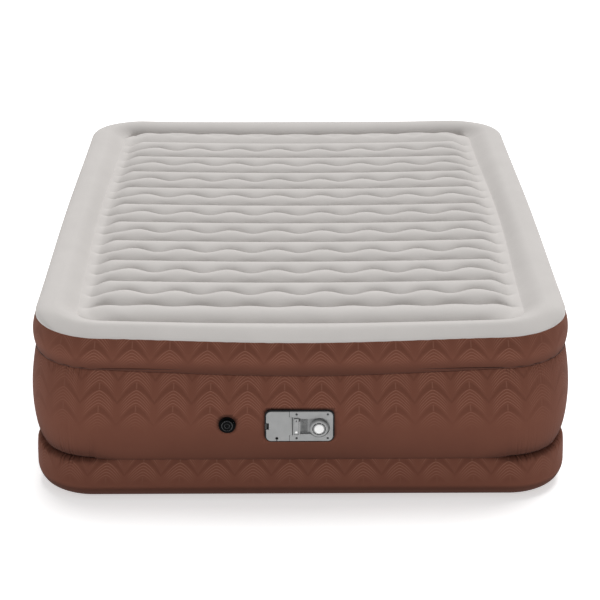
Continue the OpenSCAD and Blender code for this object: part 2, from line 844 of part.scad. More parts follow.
// Dial, turned about the panel's normal: skirt, shaft, seats for the cap and the inlays
cap_seat = 1.5;
inlay_t = 1;
module at_dial() {
    at_panel() translate([dial_x, dial_y, 0]) children();
}
module inlay_ring(side_gap, height) {
    rotate_extrude() translate([inlay_r - inlay_w / 2 + side_gap, dial_proud - inlay_t])
        square([inlay_w - 2 * side_gap, height]);
}
module selector_dial() {
    edge = 2;
    shaft_end = -drum_to + 2;
    skirt_end = -recess_deep + 0.6;
    color(panel_grey) at_dial() difference() {
        rotate_extrude() polygon([[0, shaft_end], [dial_shaft_r, shaft_end], [dial_shaft_r, skirt_end],
            [dial_r, skirt_end], [dial_r, dial_proud - edge], [dial_r - edge, dial_proud],
            [0, dial_proud]]);
        translate([0, 0, dial_proud - cap_seat])
            cylinder(r = dial_cap_r + press_gap, h = cap_seat + past);
        inlay_ring(0, inlay_t + past);
    }
}
module dial_cap() {
    dome = 1;
    color("white") at_dial() rotate_extrude() polygon([[0, dial_proud - cap_seat],
        [dial_cap_r, dial_proud - cap_seat], [dial_cap_r, dial_proud],
        [dial_cap_r - dome, dial_proud + dome], [0, dial_proud + dome]]);
}
module dial_inlays() {
    gap_w = 3;
    color(black) at_dial() difference() {
        inlay_ring(press_gap, inlay_t);
        for (i = [0 : inlay_count - 1])
            rotate([0, 0, 360 * (i + 0.5) / inlay_count])
                translate([0, -gap_w / 2, dial_proud - inlay_t - past])
                    cube([dial_r, gap_w, inlay_t + 2 * past]);
    }
}
module selector_drum() {
    wall = 2;
    hub = dial_shaft_r + 3;
    port_edge = 4;
    color(black) at_dial() difference() {
        rod(0, 0, drum_r, drum_from, drum_to);
        difference() {
            rod(0, 0, drum_r - wall, drum_from + wall, drum_to + past);
            rod(0, 0, hub, drum_from, drum_to);
        }
        rod(0, 0, dial_shaft_r + press_gap, drum_from - past, drum_to + past);
        translate([hub - lap, -drum_r / 2, -drum_to + port_edge])
            cube([drum_r, drum_r, drum_len - 2 * port_edge]);
    }
}
module dial_seal() {
    ring_r = 1.4;
    color(black) at_dial() translate([0, 0, -floor_back - ring_r]) rotate_extrude()
        translate([dial_shaft_r + run_gap + ring_r, 0]) circle(ring_r);
}

// Rocker: a shallow V across its pin, drawn leaning to its off side
module at_rocker() {
    at_panel() translate([rock_x, 0, -pivot_deep]) rotate([rocker_lean, 0, 0]) children();
}
rock_high = pivot_deep + 1.4;
rock_mid = pivot_deep + 0.4;
rock_low = 0.5;
dot_edge = 2;
dot_y = -rocker_h / 2 + dot_r + dot_edge;
dot_t = 0.6;
module rocker() {
    foot = 2.2;
    foot_half = 6;
    half = rocker_h / 2;
    color(panel_grey) at_rocker() difference() {
        translate([-rocker_w / 2, 0, 0]) rotate([90, 0, 90]) linear_extrude(rocker_w) polygon([
            [-half, rock_low], [-foot_half, -foot], [foot_half, -foot], [half, rock_low],
            [half, rock_high], [0, rock_mid], [-half, rock_high]]);
        translate([-rocker_w, 0, 0]) rotate([0, 90, 0])
            cylinder(r = rocker_pin_r + run_gap, h = 2 * rocker_w);
        translate([0, dot_y, rock_mid]) cylinder(r = dot_r + press_gap, h = rock_high);
    }
}
module rocker_dot() {
    color("white") at_rocker() translate([0, dot_y, rock_mid]) cylinder(r = dot_r, h = dot_t);
}
module rocker_pin() {
    color(steel) at_panel() translate([rock_x - switch_hw, 0, -pivot_deep]) rotate([0, 90, 0])
        cylinder(r = rocker_pin_r, h = 2 * switch_hw);
}
module switch_body() {
    base_t = 6;
    color(black) at_panel() difference() {
        slab(plate_t, plate_t + switch_deep)
            translate([rock_x, 0]) square([2 * switch_hw, 2 * switch_hh], center = true);
        slab(plate_t - past, plate_t + switch_deep - base_t)
            translate([rock_x, 0]) square([window_w, window_h], center = true);
        translate([rock_x - switch_hw - past, 0, -pivot_deep]) rotate([0, 90, 0])
            cylinder(r = rocker_pin_r + press_gap, h = 2 * (switch_hw + past));
    }
}
module switch_terminals() {
    blade = [6.3, 0.8, 8];
    apart = 28;
    color("gold") at_panel() for (s = [-1, 1])
        translate([rock_x - blade[0] / 2, (s * apart - blade[1]) / 2, -plate_t - switch_deep - blade[2]])
            cube(blade);
}
// Slotted screen over the air intake, fitted in the floor of the finger recess
module intake_screen() {
    bars = 11;
    frame_w = 1.5;
    step = (screen_h - frame_w) / bars;
    color("dimgray") at_panel() slab(recess_deep, floor_back) translate([screen_x, 0]) difference() {
        square([screen_w, screen_h], center = true);
        for (i = [0 : bars - 1])
            translate([0, (i - (bars - 1) / 2) * step])
                square([screen_w - 2 * frame_w, step / 2], center = true);
    }
}

// Motor and fan share one axis behind the panel
module at_motor() {
    at_panel() translate([motor_x, 0, 0]) children();
}
module motor_can() {
    color(steel) at_motor() difference() {
        rod(0, 0, motor_r, motor_from, motor_to);
        rod(0, 0, motor_r - can_wall, motor_from + end_plate, motor_to - end_plate);
        rod(0, 0, bearing_r + press_gap, motor_from - past, motor_to + past);
    }
}
core_gap = 2;
air_gap = 0.8;
module stator() {
    color("sienna") at_motor()
        tube(0, 0, motor_r - can_wall - press_gap, rotor_r + air_gap,
            motor_from + end_plate + 2 * core_gap, motor_to - end_plate - 2 * core_gap);
}
module rotor_core() {
    color("peru") at_motor()
        tube(0, 0, rotor_r, shaft_r + press_gap,
            motor_from + end_plate + core_gap, motor_to - end_plate - core_gap);
}
module motor_shaft() {
    end_out = 3;
    color(steel) at_motor() rod(0, 0, shaft_r, motor_from - end_out, wheel_to);
}
module bearings() {
    color("gold") at_motor() {
        tube(0, 0, bearing_r, shaft_r + run_gap, motor_from, motor_from + end_plate);
        tube(0, 0, bearing_r, shaft_r + run_gap, motor_to - end_plate, motor_to);
    }
}
module impeller() {
    blade_t = 1.6;
    color("whitesmoke") at_motor() difference() {
        union() {
            rod(0, 0, fan_r, wheel_to - disc_t, wheel_to);
            rod(0, 0, hub_r, wheel_from, wheel_to);
            for (i = [0 : fan_blades - 1])
                rotate([0, 0, 360 * i / fan_blades]) translate([hub_r - lap, -blade_t / 2, -wheel_to + lap])
                    cube([fan_r - hub_r, blade_t, wheel_to - wheel_from - lap]);
        }
        rod(0, 0, shaft_r + press_gap, wheel_from - past, wheel_to + past);
    }
}
// Fan casing: a drum with an inlet, an outlet pipe to the housing's back and posts for the motor
module fan_housing() {
    shell_r = fan_r + 4;
    inlet_r = outlet_r - 2;
    post_r = 3;
    post_ring = motor_r - post_r - lap;
    color(black) at_motor() {
        difference() {
            union() {
                rod(0, 0, shell_r, fan_from, fan_to);
                rod(0, 0, outlet_r + fan_wall, fan_to - lap, bay_back);
            }
            rod(0, 0, shell_r - fan_wall, fan_from + fan_wall, fan_to - fan_wall);
            rod(0, 0, inlet_r, fan_from - past, fan_from + fan_wall + past);
            rod(0, 0, outlet_r, fan_to - fan_wall - past, bay_back + past);
        }
        for (a = [60, 180, 300])
            rotate([0, 0, a]) rod(post_ring, 0, post_r, motor_to, fan_from + fan_wall / 2);
    }
}
module check_valve() {
    color("darkslategray") at_motor() {
        rod(0, 0, outlet_r + seat_lap, house_back, house_back + disc_t);
        rod(0, 0, stem_r, clip_from - past, house_back + lap);
    }
}
module spring_retainer() {
    color(steel) at_motor() tube(0, 0, guide_r, stem_r + press_gap, clip_from, clip_from + clip_t);
}
module check_spring() {
    inside = stem_r + 0.8;
    wire = 1.1;
    color("gainsboro") at_motor() tube(0, 0, inside + wire, inside, clip_from + clip_t, bay_back);
}

module valve_flange() {
    color(black) at_valve() tube(0, 0, flange_r, insert_r, 0, flange_deep);
}
// Hard insert: a front rim on the flange, a mouth for the cap's plug, the throat and two hinge ears
module valve_body() {
    color("#262626") at_valve() difference() {
        union() {
            rod(0, 0, flange_r - rim_t, -rim_t, 0);
            rod(0, 0, insert_r, -lap, throat_end);
            for (s = [-1, 1])
                translate([0, s * (knuckle_half + move_gap / 2 + ear_t / 2) - ear_t / 2, 0])
                    ear(ear_t);
        }
        rod(0, 0, mouth_r, -rim_t - past, mouth_end);
        rod(0, 0, throat_r, mouth_end - past, throat_end + past);
        hinge_bore(cap_pin_r);
    }
}
// Spoked ring pressed on the end of the throat, which the flap closes on
module flap_seat() {
    seat_from = throat_end + press_gap;
    color("#303030") at_valve() difference() {
        rod(0, 0, insert_r, seat_from, flap_from);
        difference() {
            rod(0, 0, seat_r, seat_from - past, flap_from + past);
            for (a = [45, 135])
                translate([0, 0, -flap_from]) rotate([0, 0, a])
                    translate([-insert_r, -spoke_t / 2, 0]) cube([2 * insert_r, spoke_t, spoke_t]);
            rod(0, 0, peg_r + 2, throat_end, flap_from);
        }
        rod(0, 0, peg_r, throat_end - past, flap_from + past);
    }
}
module hinge_bore(r) {
    translate([cap_hinge_off, -flange_r, -hinge_z]) rotate([-90, 0, 0]) cylinder(r = r, h = 2 * flange_r);
}
// A knuckle round the hinge line that stands on the rim
module ear(length) {
    translate([cap_hinge_off, 0, -hinge_z]) rotate([-90, 0, 0]) cylinder(r = knuckle_r, h = length);
    translate([cap_hinge_off - knuckle_r, 0, 0]) cube([2 * knuckle_r, length, -hinge_z]);
}
module valve_flap() {
    color("dimgray") at_valve() tube(0, 0, flap_r, peg_r + run_gap, flap_from, flap_from + flap_t);
}
module flap_stem() {
    stop = flap_from + flap_t + flap_lift + face_gap;
    head_r = peg_r + 2.5;
    color("gray") at_valve() {
        rod(0, 0, peg_r, throat_end, stop + lap);
        rod(0, 0, head_r, stop, stop + head_t);
    }
}
module valve_cap() {
    lip = 1.6;
    dish = 1.2;
    hub = 6;
    plug_r = mouth_r - plug_gap;
    tab_w = 9;
    tab_thin = 1;
    tab_reach = cap_r + 3.2;
    slot_w = 10;
    color("#202020") at_valve() difference() {
        union() {
            rod(0, 0, cap_r, cap_front, cap_back);
            rod(0, 0, plug_r, cap_back - lap, cap_back + plug_deep);
            slab(cap_front, cap_back - tab_thin) box2(-tab_reach, 0, -tab_w / 2, tab_w / 2);
            slab(cap_front, cap_back) box2(0, cap_hinge_off, -knuckle_half, knuckle_half);
            translate([cap_hinge_off, -knuckle_half, -hinge_z]) rotate([-90, 0, 0])
                cylinder(r = knuckle_r, h = 2 * knuckle_half);
        }
        difference() {
            rod(0, 0, cap_r - lip, cap_front - past, cap_front + dish);
            rod(0, 0, hub, cap_front - 2 * past, cap_back);
        }
        rod(0, 0, plug_r - lip, cap_back + lap, cap_back + plug_deep + past);
        for (s = [-1, 1])
            slab(cap_front - past, cap_back + past)
                translate([cap_hinge_off, s * (knuckle_half + slot_w / 2)])
                    square([2 * (knuckle_r + move_gap), slot_w], center = true);
        hinge_bore(cap_pin_r + run_gap);
    }
}
// Flat ring under the cap that closes on the valve's rim
module cap_seal() {
    color(black) at_valve()
        tube(0, 0, mouth_r + 2, mouth_r - plug_gap + run_gap, cap_back, cap_back + face_gap);
}
module cap_hinge_pin() {
    half = knuckle_half + move_gap / 2 + ear_t;
    color(steel) at_valve() translate([cap_hinge_off, -half, -hinge_z]) rotate([-90, 0, 0])
        cylinder(r = cap_pin_r, h = 2 * half);
}

wave_panel();
rim_panel();
upper_wall();
middle_wall();
foot_wall();
lower_wall();
bottom_panel();
upper_girth_sheet();
lower_girth_sheet();
straight_beams();
wave_beams();
base_beams();
pump_collar();
pump_housing();
pump_cover();
cover_screws();
cord_door();
door_hinge_pin();
door_catch();
cord_gland();
selector_dial();
dial_cap();
dial_inlays();
selector_drum();
dial_seal();
rocker();
rocker_dot();
rocker_pin();
switch_body();
switch_terminals();
intake_screen();
motor_can();
stator();
rotor_core();
motor_shaft();
bearings();
impeller();
fan_housing();
check_valve();
spring_retainer();
check_spring();
valve_flange();
valve_body();
flap_seat();
valve_flap();
flap_stem();
valve_cap();
cap_seal();
cap_hinge_pin();
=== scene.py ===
# %% [markdown]
# # A raised air bed
# The bed is a welded envelope of flocked film: a pale sleeping surface with cross channels, a pale rolled
# rim round it, and three brown bands down the sides. A pump panel and a flip-cap valve sit in the foot end.
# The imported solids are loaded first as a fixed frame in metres. Every soft piece is then made again as a
# fine mesh where its solid is, and the hard pieces keep their solids and get rounded edges and finishes.

import json
from math import cos, pi, sin

import bpy
import numpy as np
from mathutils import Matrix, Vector


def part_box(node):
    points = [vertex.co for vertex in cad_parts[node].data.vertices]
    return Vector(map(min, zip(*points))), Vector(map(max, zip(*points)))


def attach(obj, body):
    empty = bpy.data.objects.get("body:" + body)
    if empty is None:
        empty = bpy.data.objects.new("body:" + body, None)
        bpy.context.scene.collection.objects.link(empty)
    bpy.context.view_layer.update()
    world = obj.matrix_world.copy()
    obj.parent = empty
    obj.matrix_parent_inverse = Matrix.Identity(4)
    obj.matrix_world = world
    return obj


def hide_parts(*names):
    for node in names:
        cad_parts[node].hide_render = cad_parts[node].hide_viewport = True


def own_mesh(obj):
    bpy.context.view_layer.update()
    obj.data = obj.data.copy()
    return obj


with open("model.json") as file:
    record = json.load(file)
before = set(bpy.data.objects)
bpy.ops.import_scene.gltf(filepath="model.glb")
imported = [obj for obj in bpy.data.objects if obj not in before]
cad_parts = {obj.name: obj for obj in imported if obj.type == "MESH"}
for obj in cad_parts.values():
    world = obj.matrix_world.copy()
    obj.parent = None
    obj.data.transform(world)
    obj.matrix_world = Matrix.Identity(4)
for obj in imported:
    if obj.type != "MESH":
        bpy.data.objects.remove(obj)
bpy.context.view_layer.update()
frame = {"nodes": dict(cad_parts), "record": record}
nodes = frame["nodes"]

# %% [markdown]
# ## Camera
# The viewpoint was worked out from the picture: the bed's seams and corners were fitted to a pinhole
# camera at the real width and length. Aiming the camera along a vector keeps the horizon level without
# any Euler angles to get wrong.

# %% Camera
eye = Vector((-0.0383, -5.3832, 2.4186))
pitch, yaw = 0.39256, 0.00790
aim = Vector((sin(yaw) * cos(pitch), cos(yaw) * cos(pitch), -sin(pitch)))
lens = bpy.data.cameras.new("photo_camera")
lens.sensor_width = 36.0
lens.lens = 107.22
camera = bpy.data.objects.new("photo_camera", lens)
camera.location = eye
camera.rotation_euler = aim.to_track_quat("-Z", "Y").to_euler()
bpy.context.scene.collection.objects.link(camera)
bpy.context.scene.camera = camera
print("camera at", tuple(round(v, 2) for v in eye))

# %% [markdown]
# ## Finishes from nodes
# Every finish is one Principled shader whose colour, roughness and bump come from noise at a real scale.
# Object coordinates are in metres here, so a noise scale of 1000 means grains of about a millimetre.
# A tiny helper makes a node and fills its sockets, either with a value or with another node's output.
# Noise seldom leaves the middle of its range, so it is stretched from there. A Mix node that is set to
# colours keeps its two colours in sockets 6 and 7 and gives its result at output 2.

# %% Node helper
NOISE_LOW, NOISE_HIGH, NOISE_ROUGH = 0.3, 0.7, 0.55
MIX_FIRST, MIX_SECOND, MIX_RESULT = 6, 7, 2


def add(tree, kind, sockets=None, **settings):
    node = tree.nodes.new(kind)
    for key, value in settings.items():
        setattr(node, key, value)
    for key, value in (sockets or {}).items():
        if isinstance(value, bpy.types.NodeSocket):
            tree.links.new(value, node.inputs[key])
        else:
            node.inputs[key].default_value = value
    return node


def start_finish(name):
    finish = bpy.data.materials.new(name)
    finish.use_nodes = True
    tree = finish.node_tree
    place = add(tree, "ShaderNodeTexCoord").outputs["Object"]
    return finish, tree, tree.nodes["Principled BSDF"], place


def grain(tree, place, scale, detail=3.0):
    return add(tree, "ShaderNodeTexNoise", {"Vector": place, "Scale": scale, "Detail": detail,
                                            "Roughness": NOISE_ROUGH}).outputs["Fac"]


def between(tree, fac, low, high):
    return add(tree, "ShaderNodeMapRange", {"Value": fac, "From Min": NOISE_LOW, "From Max": NOISE_HIGH,
                                            "To Min": low, "To Max": high}).outputs["Result"]


def blend_colours(tree, fac, first, second):
    mix = add(tree, "ShaderNodeMix", {"Factor": fac}, data_type="RGBA")
    for slot, value in ((MIX_FIRST, first), (MIX_SECOND, second)):
        if isinstance(value, bpy.types.NodeSocket):
            tree.links.new(value, mix.inputs[slot])
        else:
            mix.inputs[slot].default_value = (*value, 1.0)
    return mix.outputs[MIX_RESULT]


def bump(tree, height, distance, strength, below=None):
    sockets = {"Height": height, "Distance": distance, "Strength": strength}
    if below is not None:
        sockets["Normal"] = below
    return add(tree, "ShaderNodeBump", sockets).outputs["Normal"]


def srgb(r, g, b):
    return tuple(((v / 255 + 0.055) / 1.055) ** 2.4 if v > 10 else v / 255 / 12.92 for v in (r, g, b))


print("helpers ready")

# %% [markdown]
# ## Flock
# Flock is a dense pile of very short fibres glued on film. It is dull, a little paler at grazing angles,
# and slightly blotchy where the pile leans one way or the other. Sheen gives the soft edge, a coarse noise
# gives the blotches, and two fine noises give the nap its bump.

# %% Pale flock
LEAN_SCALE, NAP_SCALE, FIBRE_SCALE = 9.0, 420.0, 1900.0
NAP_DEEP, FIBRE_DEEP = 0.0004, 0.0002
FLOCK_ROUGH, FLOCK_SHINE, SHEEN_ROUGH = (0.86, 0.97), 0.2, 0.45


def flock(name, dark, light, sheen):
    finish, tree, shader, place = start_finish(name)
    lean = grain(tree, place, LEAN_SCALE, 4.0)
    nap = grain(tree, place, NAP_SCALE, 2.0)
    fibre = grain(tree, place, FIBRE_SCALE, 2.0)
    blotch = between(tree, lean, 0.25, 0.75)
    speck = between(tree, nap, -0.18, 0.18)
    fac = add(tree, "ShaderNodeMath", {0: blotch, 1: speck}, operation="ADD", use_clamp=True).outputs[0]
    colour = blend_colours(tree, fac, dark, light)
    normal = bump(tree, nap, NAP_DEEP, 0.35)
    normal = bump(tree, fibre, FIBRE_DEEP, 0.5, normal)
    tree.links.new(colour, shader.inputs["Base Color"])
    tree.links.new(between(tree, nap, *FLOCK_ROUGH), shader.inputs["Roughness"])
    tree.links.new(normal, shader.inputs["Normal"])
    shader.inputs["Specular IOR Level"].default_value = FLOCK_SHINE
    shader.inputs["Sheen Weight"].default_value = sheen
    shader.inputs["Sheen Roughness"].default_value = SHEEN_ROUGH
    return finish, tree, shader, colour, normal


pale_flock = flock("pale_flock", srgb(194, 190, 187), srgb(202, 198, 195), 0.05)[0]
print("made", pale_flock.name)

# %% [markdown]
# ## Brown flock with tonal arches
# The side bands carry a tone-on-tone ornament: columns of pointed arches, each a smooth darker chevron with
# a fan of fine raised lines under it. It is drawn by formula from two lengths stored on the mesh, the
# distance round the bed and the height. Each band has its own share of the ornament, and it fades out
# towards the corners, so a third stored number says how strongly it shows. Film that turns to face down is
# darkened a little as well: painted shade, standing in for the shade under the bulging bands.

# %% Brown flock
ARCH_STEP, ARCH_ROW, ARCH_DROP, ARCH_POINT = 0.1018, 0.065, 0.053, 1.5
BAND_THICK, BAND_TAPER, LINE_STEP, LINE_START = 0.021, 0.011, 0.0088, 0.0015
CHEVRON_SHOWS, LINE_SHOWS, RIB_SHOWS, RELIEF_DEEP = 0.8, 0.9, 0.5, 0.0005
# Painted shade: how strongly, and in what colour, the brown darkens where the film turns to face down.
PAINTED_SHADE_SHOWS, PAINTED_SHADE_TINT = 0.55, (0.10, 0.08, 0.08, 1.0)


def maths(tree, operation, first, second=0.0):
    return add(tree, "ShaderNodeMath", {0: first, 1: second}, operation=operation).outputs[0]


def ramp(tree, value, from_min, from_max):
    """A smooth step from 0 to 1."""
    return add(tree, "ShaderNodeMapRange", {"Value": value, "From Min": from_min, "From Max": from_max},
               interpolation_type="SMOOTHSTEP").outputs["Result"]


def arches(tree):
    """How strongly the dark chevron and the fine raised lines show at a point."""
    where = add(tree, "ShaderNodeSeparateXYZ",
                {0: add(tree, "ShaderNodeUVMap", uv_map="around").outputs["UV"]})
    show = add(tree, "ShaderNodeAttribute", attribute_name="ornament").outputs["Fac"]
    step = maths(tree, "FRACT", maths(tree, "DIVIDE", where.outputs["X"], ARCH_STEP))
    aside = maths(tree, "MULTIPLY", maths(tree, "ABSOLUTE", maths(tree, "SUBTRACT", step, 0.5)), 2.0)
    drop = maths(tree, "MULTIPLY", maths(tree, "POWER", aside, ARCH_POINT), ARCH_DROP)
    level = maths(tree, "DIVIDE", maths(tree, "ADD", where.outputs["Y"], drop), ARCH_ROW)
    down = maths(tree, "MULTIPLY", maths(tree, "SUBTRACT", 1.0, maths(tree, "FRACT", level)), ARCH_ROW)
    thick = maths(tree, "SUBTRACT", BAND_THICK, maths(tree, "MULTIPLY", aside, BAND_TAPER))
    left_over = maths(tree, "SUBTRACT", thick, down)
    chevron = maths(tree, "MULTIPLY", ramp(tree, down, 0.0, 0.003), ramp(tree, left_over, -0.001, 0.002))
    below = maths(tree, "SUBTRACT", down, BAND_THICK + LINE_START)
    phase = maths(tree, "DIVIDE", below, LINE_STEP / (2 * pi))
    fan = maths(tree, "MULTIPLY", ramp(tree, maths(tree, "COSINE", phase), 0.2, 0.98),
                ramp(tree, down, BAND_THICK - 0.003, BAND_THICK - 0.001))
    fan = maths(tree, "MULTIPLY", fan, ramp(tree, aside, 0.92, 0.55))
    rib = maths(tree, "MULTIPLY", ramp(tree, aside, 0.05, 0.02), ramp(tree, left_over, 0.0, 0.004))
    rib = maths(tree, "MULTIPLY", rib, RIB_SHOWS)
    line = maths(tree, "MULTIPLY", maths(tree, "MAXIMUM", fan, rib), show)
    return maths(tree, "MULTIPLY", chevron, show), line


brown_flock, tree, shader, colour, normal = flock("brown_flock", srgb(109, 66, 52), srgb(115, 71, 56), 0.02)
chevron, line = arches(tree)
colour = blend_colours(tree, maths(tree, "MULTIPLY", chevron, CHEVRON_SHOWS), colour, srgb(103, 62, 48))
colour = blend_colours(tree, maths(tree, "MULTIPLY", line, LINE_SHOWS), colour, srgb(136, 91, 75))
# Painted shade: the brown is darkened where the surface's normal points down, standing in for the shade under
# the bands.
facing = add(tree, "ShaderNodeSeparateXYZ", {0: add(tree, "ShaderNodeNewGeometry").outputs["Normal"]})
painted_under_shade = ramp(tree, facing.outputs["Z"], 0.02, -0.36)
shaded = add(tree, "ShaderNodeMix", {"Factor": maths(tree, "MULTIPLY", painted_under_shade, PAINTED_SHADE_SHOWS)},
             data_type="RGBA", blend_type="MULTIPLY")
tree.links.new(colour, shaded.inputs[MIX_FIRST])
shaded.inputs[MIX_SECOND].default_value = PAINTED_SHADE_TINT
relief = maths(tree, "SUBTRACT", line, chevron)
tree.links.new(shaded.outputs[MIX_RESULT], shader.inputs["Base Color"])
tree.links.new(bump(tree, relief, RELIEF_DEEP, 0.5, normal), shader.inputs["Normal"])
print("made", brown_flock.name)

# %% [markdown]
# ## Sheets from grids
# Each soft piece is a grid of points: rows across it and columns along it. A closed grid joins its last
# column to the first, as a band does round the bed. Numpy fills the whole grid at once, and the mesh is
# built from it in one call. The helper also stores the two lengths that the ornament needs.

# %% Grid to mesh
def four_corners(grid):
    """The four corners of every face of a grid, in order."""
    return np.stack([grid[:-1, :-1], grid[:-1, 1:], grid[1:, 1:], grid[1:, :-1]], axis=2)


def grid_mesh(name, points, closed=False, around=None, ornament=None):
    rows, cols = points.shape[:2]
    ids = np.arange(rows * cols).reshape(rows, cols)
    if closed:
        ids = np.concatenate([ids, ids[:, :1]], axis=1)
    faces = four_corners(ids).reshape(-1, 4)
    mesh = bpy.data.meshes.new(name)
    mesh.from_pydata(points.reshape(-1, 3).tolist(), [], faces.tolist())
    mesh.polygons.foreach_set("use_smooth", np.ones(len(faces), bool))
    if around is not None:
        layer = mesh.uv_layers.new(name="around")
        layer.data.foreach_set("uv", four_corners(around).astype(np.float32).ravel())
    if ornament is not None:
        mesh.attributes.new("ornament", "FLOAT", "POINT").data.foreach_set(
            "value", ornament.astype(np.float32).ravel())
    piece = bpy.data.objects.new(name, mesh)
    bpy.context.scene.collection.objects.link(piece)
    return piece


def smooth(x):
    """A smooth step from 0 to 1."""
    x = np.clip(x, 0.0, 1.0)
    return x * x * (3 - 2 * x)


print("grid helper ready")

# %% [markdown]
# ## The plan of the bed
# Seen from above the bed is a rounded rectangle. Its ends bow out a little at the top, because the corners
# are drawn in when it is full, and the corners are tighter at the floor than at the top. One function gives
# the ring of points at any inset and height, always with the same columns, so rings can be stacked.

# %% Plan ring
HALF_W, HALF_L, HEIGHT = 0.760, 1.015, 0.510
END_PULL, SIDE_PULL = 0.020, 0.006
CORNER_COLS, LONG_COLS, SHORT_COLS = 180, 170, 150
RIM_W, MEASURE_Z = 0.118, 0.3
FLOOR_CORNER, FOOT_CORNER, HEAD_CORNER = 0.180, 0.044, 0.010


def corner_radius(z, at_head=False):
    return FLOOR_CORNER + (HEAD_CORNER if at_head else FOOT_CORNER) * z / HEIGHT


def start_at_head(values):
    """Turn a ring so that its first column is in the middle of the head."""
    return np.roll(values, -(2 * CORNER_COLS + LONG_COLS + SHORT_COLS // 2), axis=0)


def corner_arc(q, inset, z):
    """Points of one corner, counted from the right foot corner round to the left."""
    sx, sy = (1 if q < 2 else -1), (1 if q in (1, 2) else -1)
    radius = corner_radius(z, sy > 0)
    middle = np.array([sx * (HALF_W - radius - SIDE_PULL * z / HEIGHT),
                       sy * (HALF_L - radius - END_PULL * z / HEIGHT)])
    a = np.radians(90 * (q - 1) + 90 * np.arange(CORNER_COLS + 1) / CORNER_COLS)
    return middle + (radius - inset) * np.stack([np.cos(a), np.sin(a)], axis=1)


def plan_ring(inset, z):
    corners = [corner_arc(q, inset, z) for q in range(4)]
    fade = max(0.0, 1 - inset / RIM_W)
    ring = []
    for q in range(4):
        ring.append(corners[q][:-1])
        count, pull = (LONG_COLS, SIDE_PULL) if q % 2 == 0 else (SHORT_COLS, END_PULL)
        t = (np.arange(count) / count)[:, None]
        out = np.array([cos(pi / 2 * q), sin(pi / 2 * q)]) * pull * z / HEIGHT * fade
        ring.append((1 - t) * corners[q][-1] + t * corners[(q + 1) % 4][0] + out * np.sin(pi * t) ** 2)
    return start_at_head(np.concatenate(ring))


base_ring = plan_ring(0.0, MEASURE_Z)
step_lengths = np.linalg.norm(np.roll(base_ring, -1, axis=0) - base_ring, axis=1)
distance = np.concatenate([[0.0], np.cumsum(step_lengths)]) - step_lengths.sum() / 2
COLS = len(base_ring)
print("columns:", COLS, "way round the bed: %.2f m" % step_lengths.sum())

# %% [markdown]
# Near the corners the flat strips have to turn, and their spare width gathers into small pleats at the
# welds. Three numbers for each column steer that: how near a corner it is, which way is outward, and how much
# it belongs to a side. The pleats are sums of a few waves with fixed, seeded phases, so every run gives the
# same bed.

# %% Corner share and pleats
BLUR_COLS, SIDE_FROM = 31, 0.3
before, after = np.roll(base_ring, 1, axis=0), np.roll(base_ring, -1, axis=0)
tangent = after - before
tangent /= np.linalg.norm(tangent, axis=1, keepdims=True)
outward = np.stack([tangent[:, 1], -tangent[:, 0]], axis=1)
turning = np.abs(tangent[:, 0] * np.roll(tangent[:, 1], -1) - tangent[:, 1] * np.roll(tangent[:, 0], -1))
kernel = np.hanning(BLUR_COLS)
corner_share = np.convolve(np.concatenate([turning] * 3), kernel / kernel.sum(), "same")[COLS:2 * COLS]
corner_share = smooth(corner_share / corner_share.max())


def side_part(facing):
    """A gentler share of the side, for the rim."""
    return smooth((facing - SIDE_FROM) / (1 - SIDE_FROM))


side_share = side_part(np.abs(outward[:, 0]))


def pleats(wave, seed, count=5):
    """A mix of waves round the bed, each about as long as asked, between -1 and 1."""
    rng = np.random.default_rng(seed)
    total = np.zeros(COLS)
    for _ in range(count):
        length = wave * rng.uniform(0.7, 1.5)
        total += rng.uniform(0.5, 1.0) * np.sin(2 * pi * distance[:-1] / length + rng.uniform(0, 2 * pi))
    return total / np.abs(total).max()


print("corner columns:", int((corner_share > 0.5).sum()))

# %% [markdown]
# A full bed's welds aren't level. They stand highest along the two sides, drop through the corners and sag
# further towards the middle of each end. One function turns a height on the flat drawing into the height on
# the full bed. It needs to know how far along an end a point lies, 0 in its middle and 1 at its corners, and
# how much it faces a side.

# %% Sag of the ends
LOWER_Z, UPPER_Z, TOP_Z = 0.152, 0.398, 0.482
SAG_AT = [0.0, LOWER_Z, UPPER_Z, TOP_Z, HEIGHT]
CORNER_SAG = [0.0, 0.0290, 0.0065, 0.0010, 0.0]
END_SAG = [0.0, -0.0030, 0.0140, 0.0070, 0.0080]
STRETCH = 1.0078
SQUARE_FROM, SQUARE_OVER = 0.76, 0.22
NEAR_CORNER, CORNER_Y, CORNER_OVER = 0.45, 0.86, 0.30


def full_height(z, along_end, sideways):
    corner = np.interp(z, SAG_AT, CORNER_SAG) * (1 - sideways)
    return STRETCH * z - corner - np.interp(z, SAG_AT, END_SAG) * (1 - along_end ** 2)


parts = []
for q in range(4):
    parts.append(np.ones(CORNER_COLS))
    parts.append(np.ones(LONG_COLS) if q % 2 == 0 else np.abs(2 * np.arange(SHORT_COLS) / SHORT_COLS - 1))
end_share = start_at_head(np.concatenate(parts))


def to_side(facing, y):
    """How much a wall belongs to a side, from how squarely it faces it and how far it is from a corner."""
    squarely = smooth((facing - SQUARE_FROM) / SQUARE_OVER)
    return squarely * (NEAR_CORNER + (1 - NEAR_CORNER) * smooth((CORNER_Y - np.abs(y)) / CORNER_OVER))


side_turn = to_side(np.abs(outward[:, 0]), base_ring[:, 1])
foot_mid = COLS // 2
print("lower weld mid foot: %.3f m" % full_height(LOWER_Z, end_share[foot_mid], side_turn[foot_mid]))

# %% [markdown]
# ## Side bands
# Each band is a strip welded along both edges, so it swells between them like a long tube. A sine between
# the welds gives the swell, raised to a power below one for a fuller tube. The welds pull into sharp valleys.
# Fine pleats hang under the upper weld at the corners, and coarser puckers stand at the lower weld.

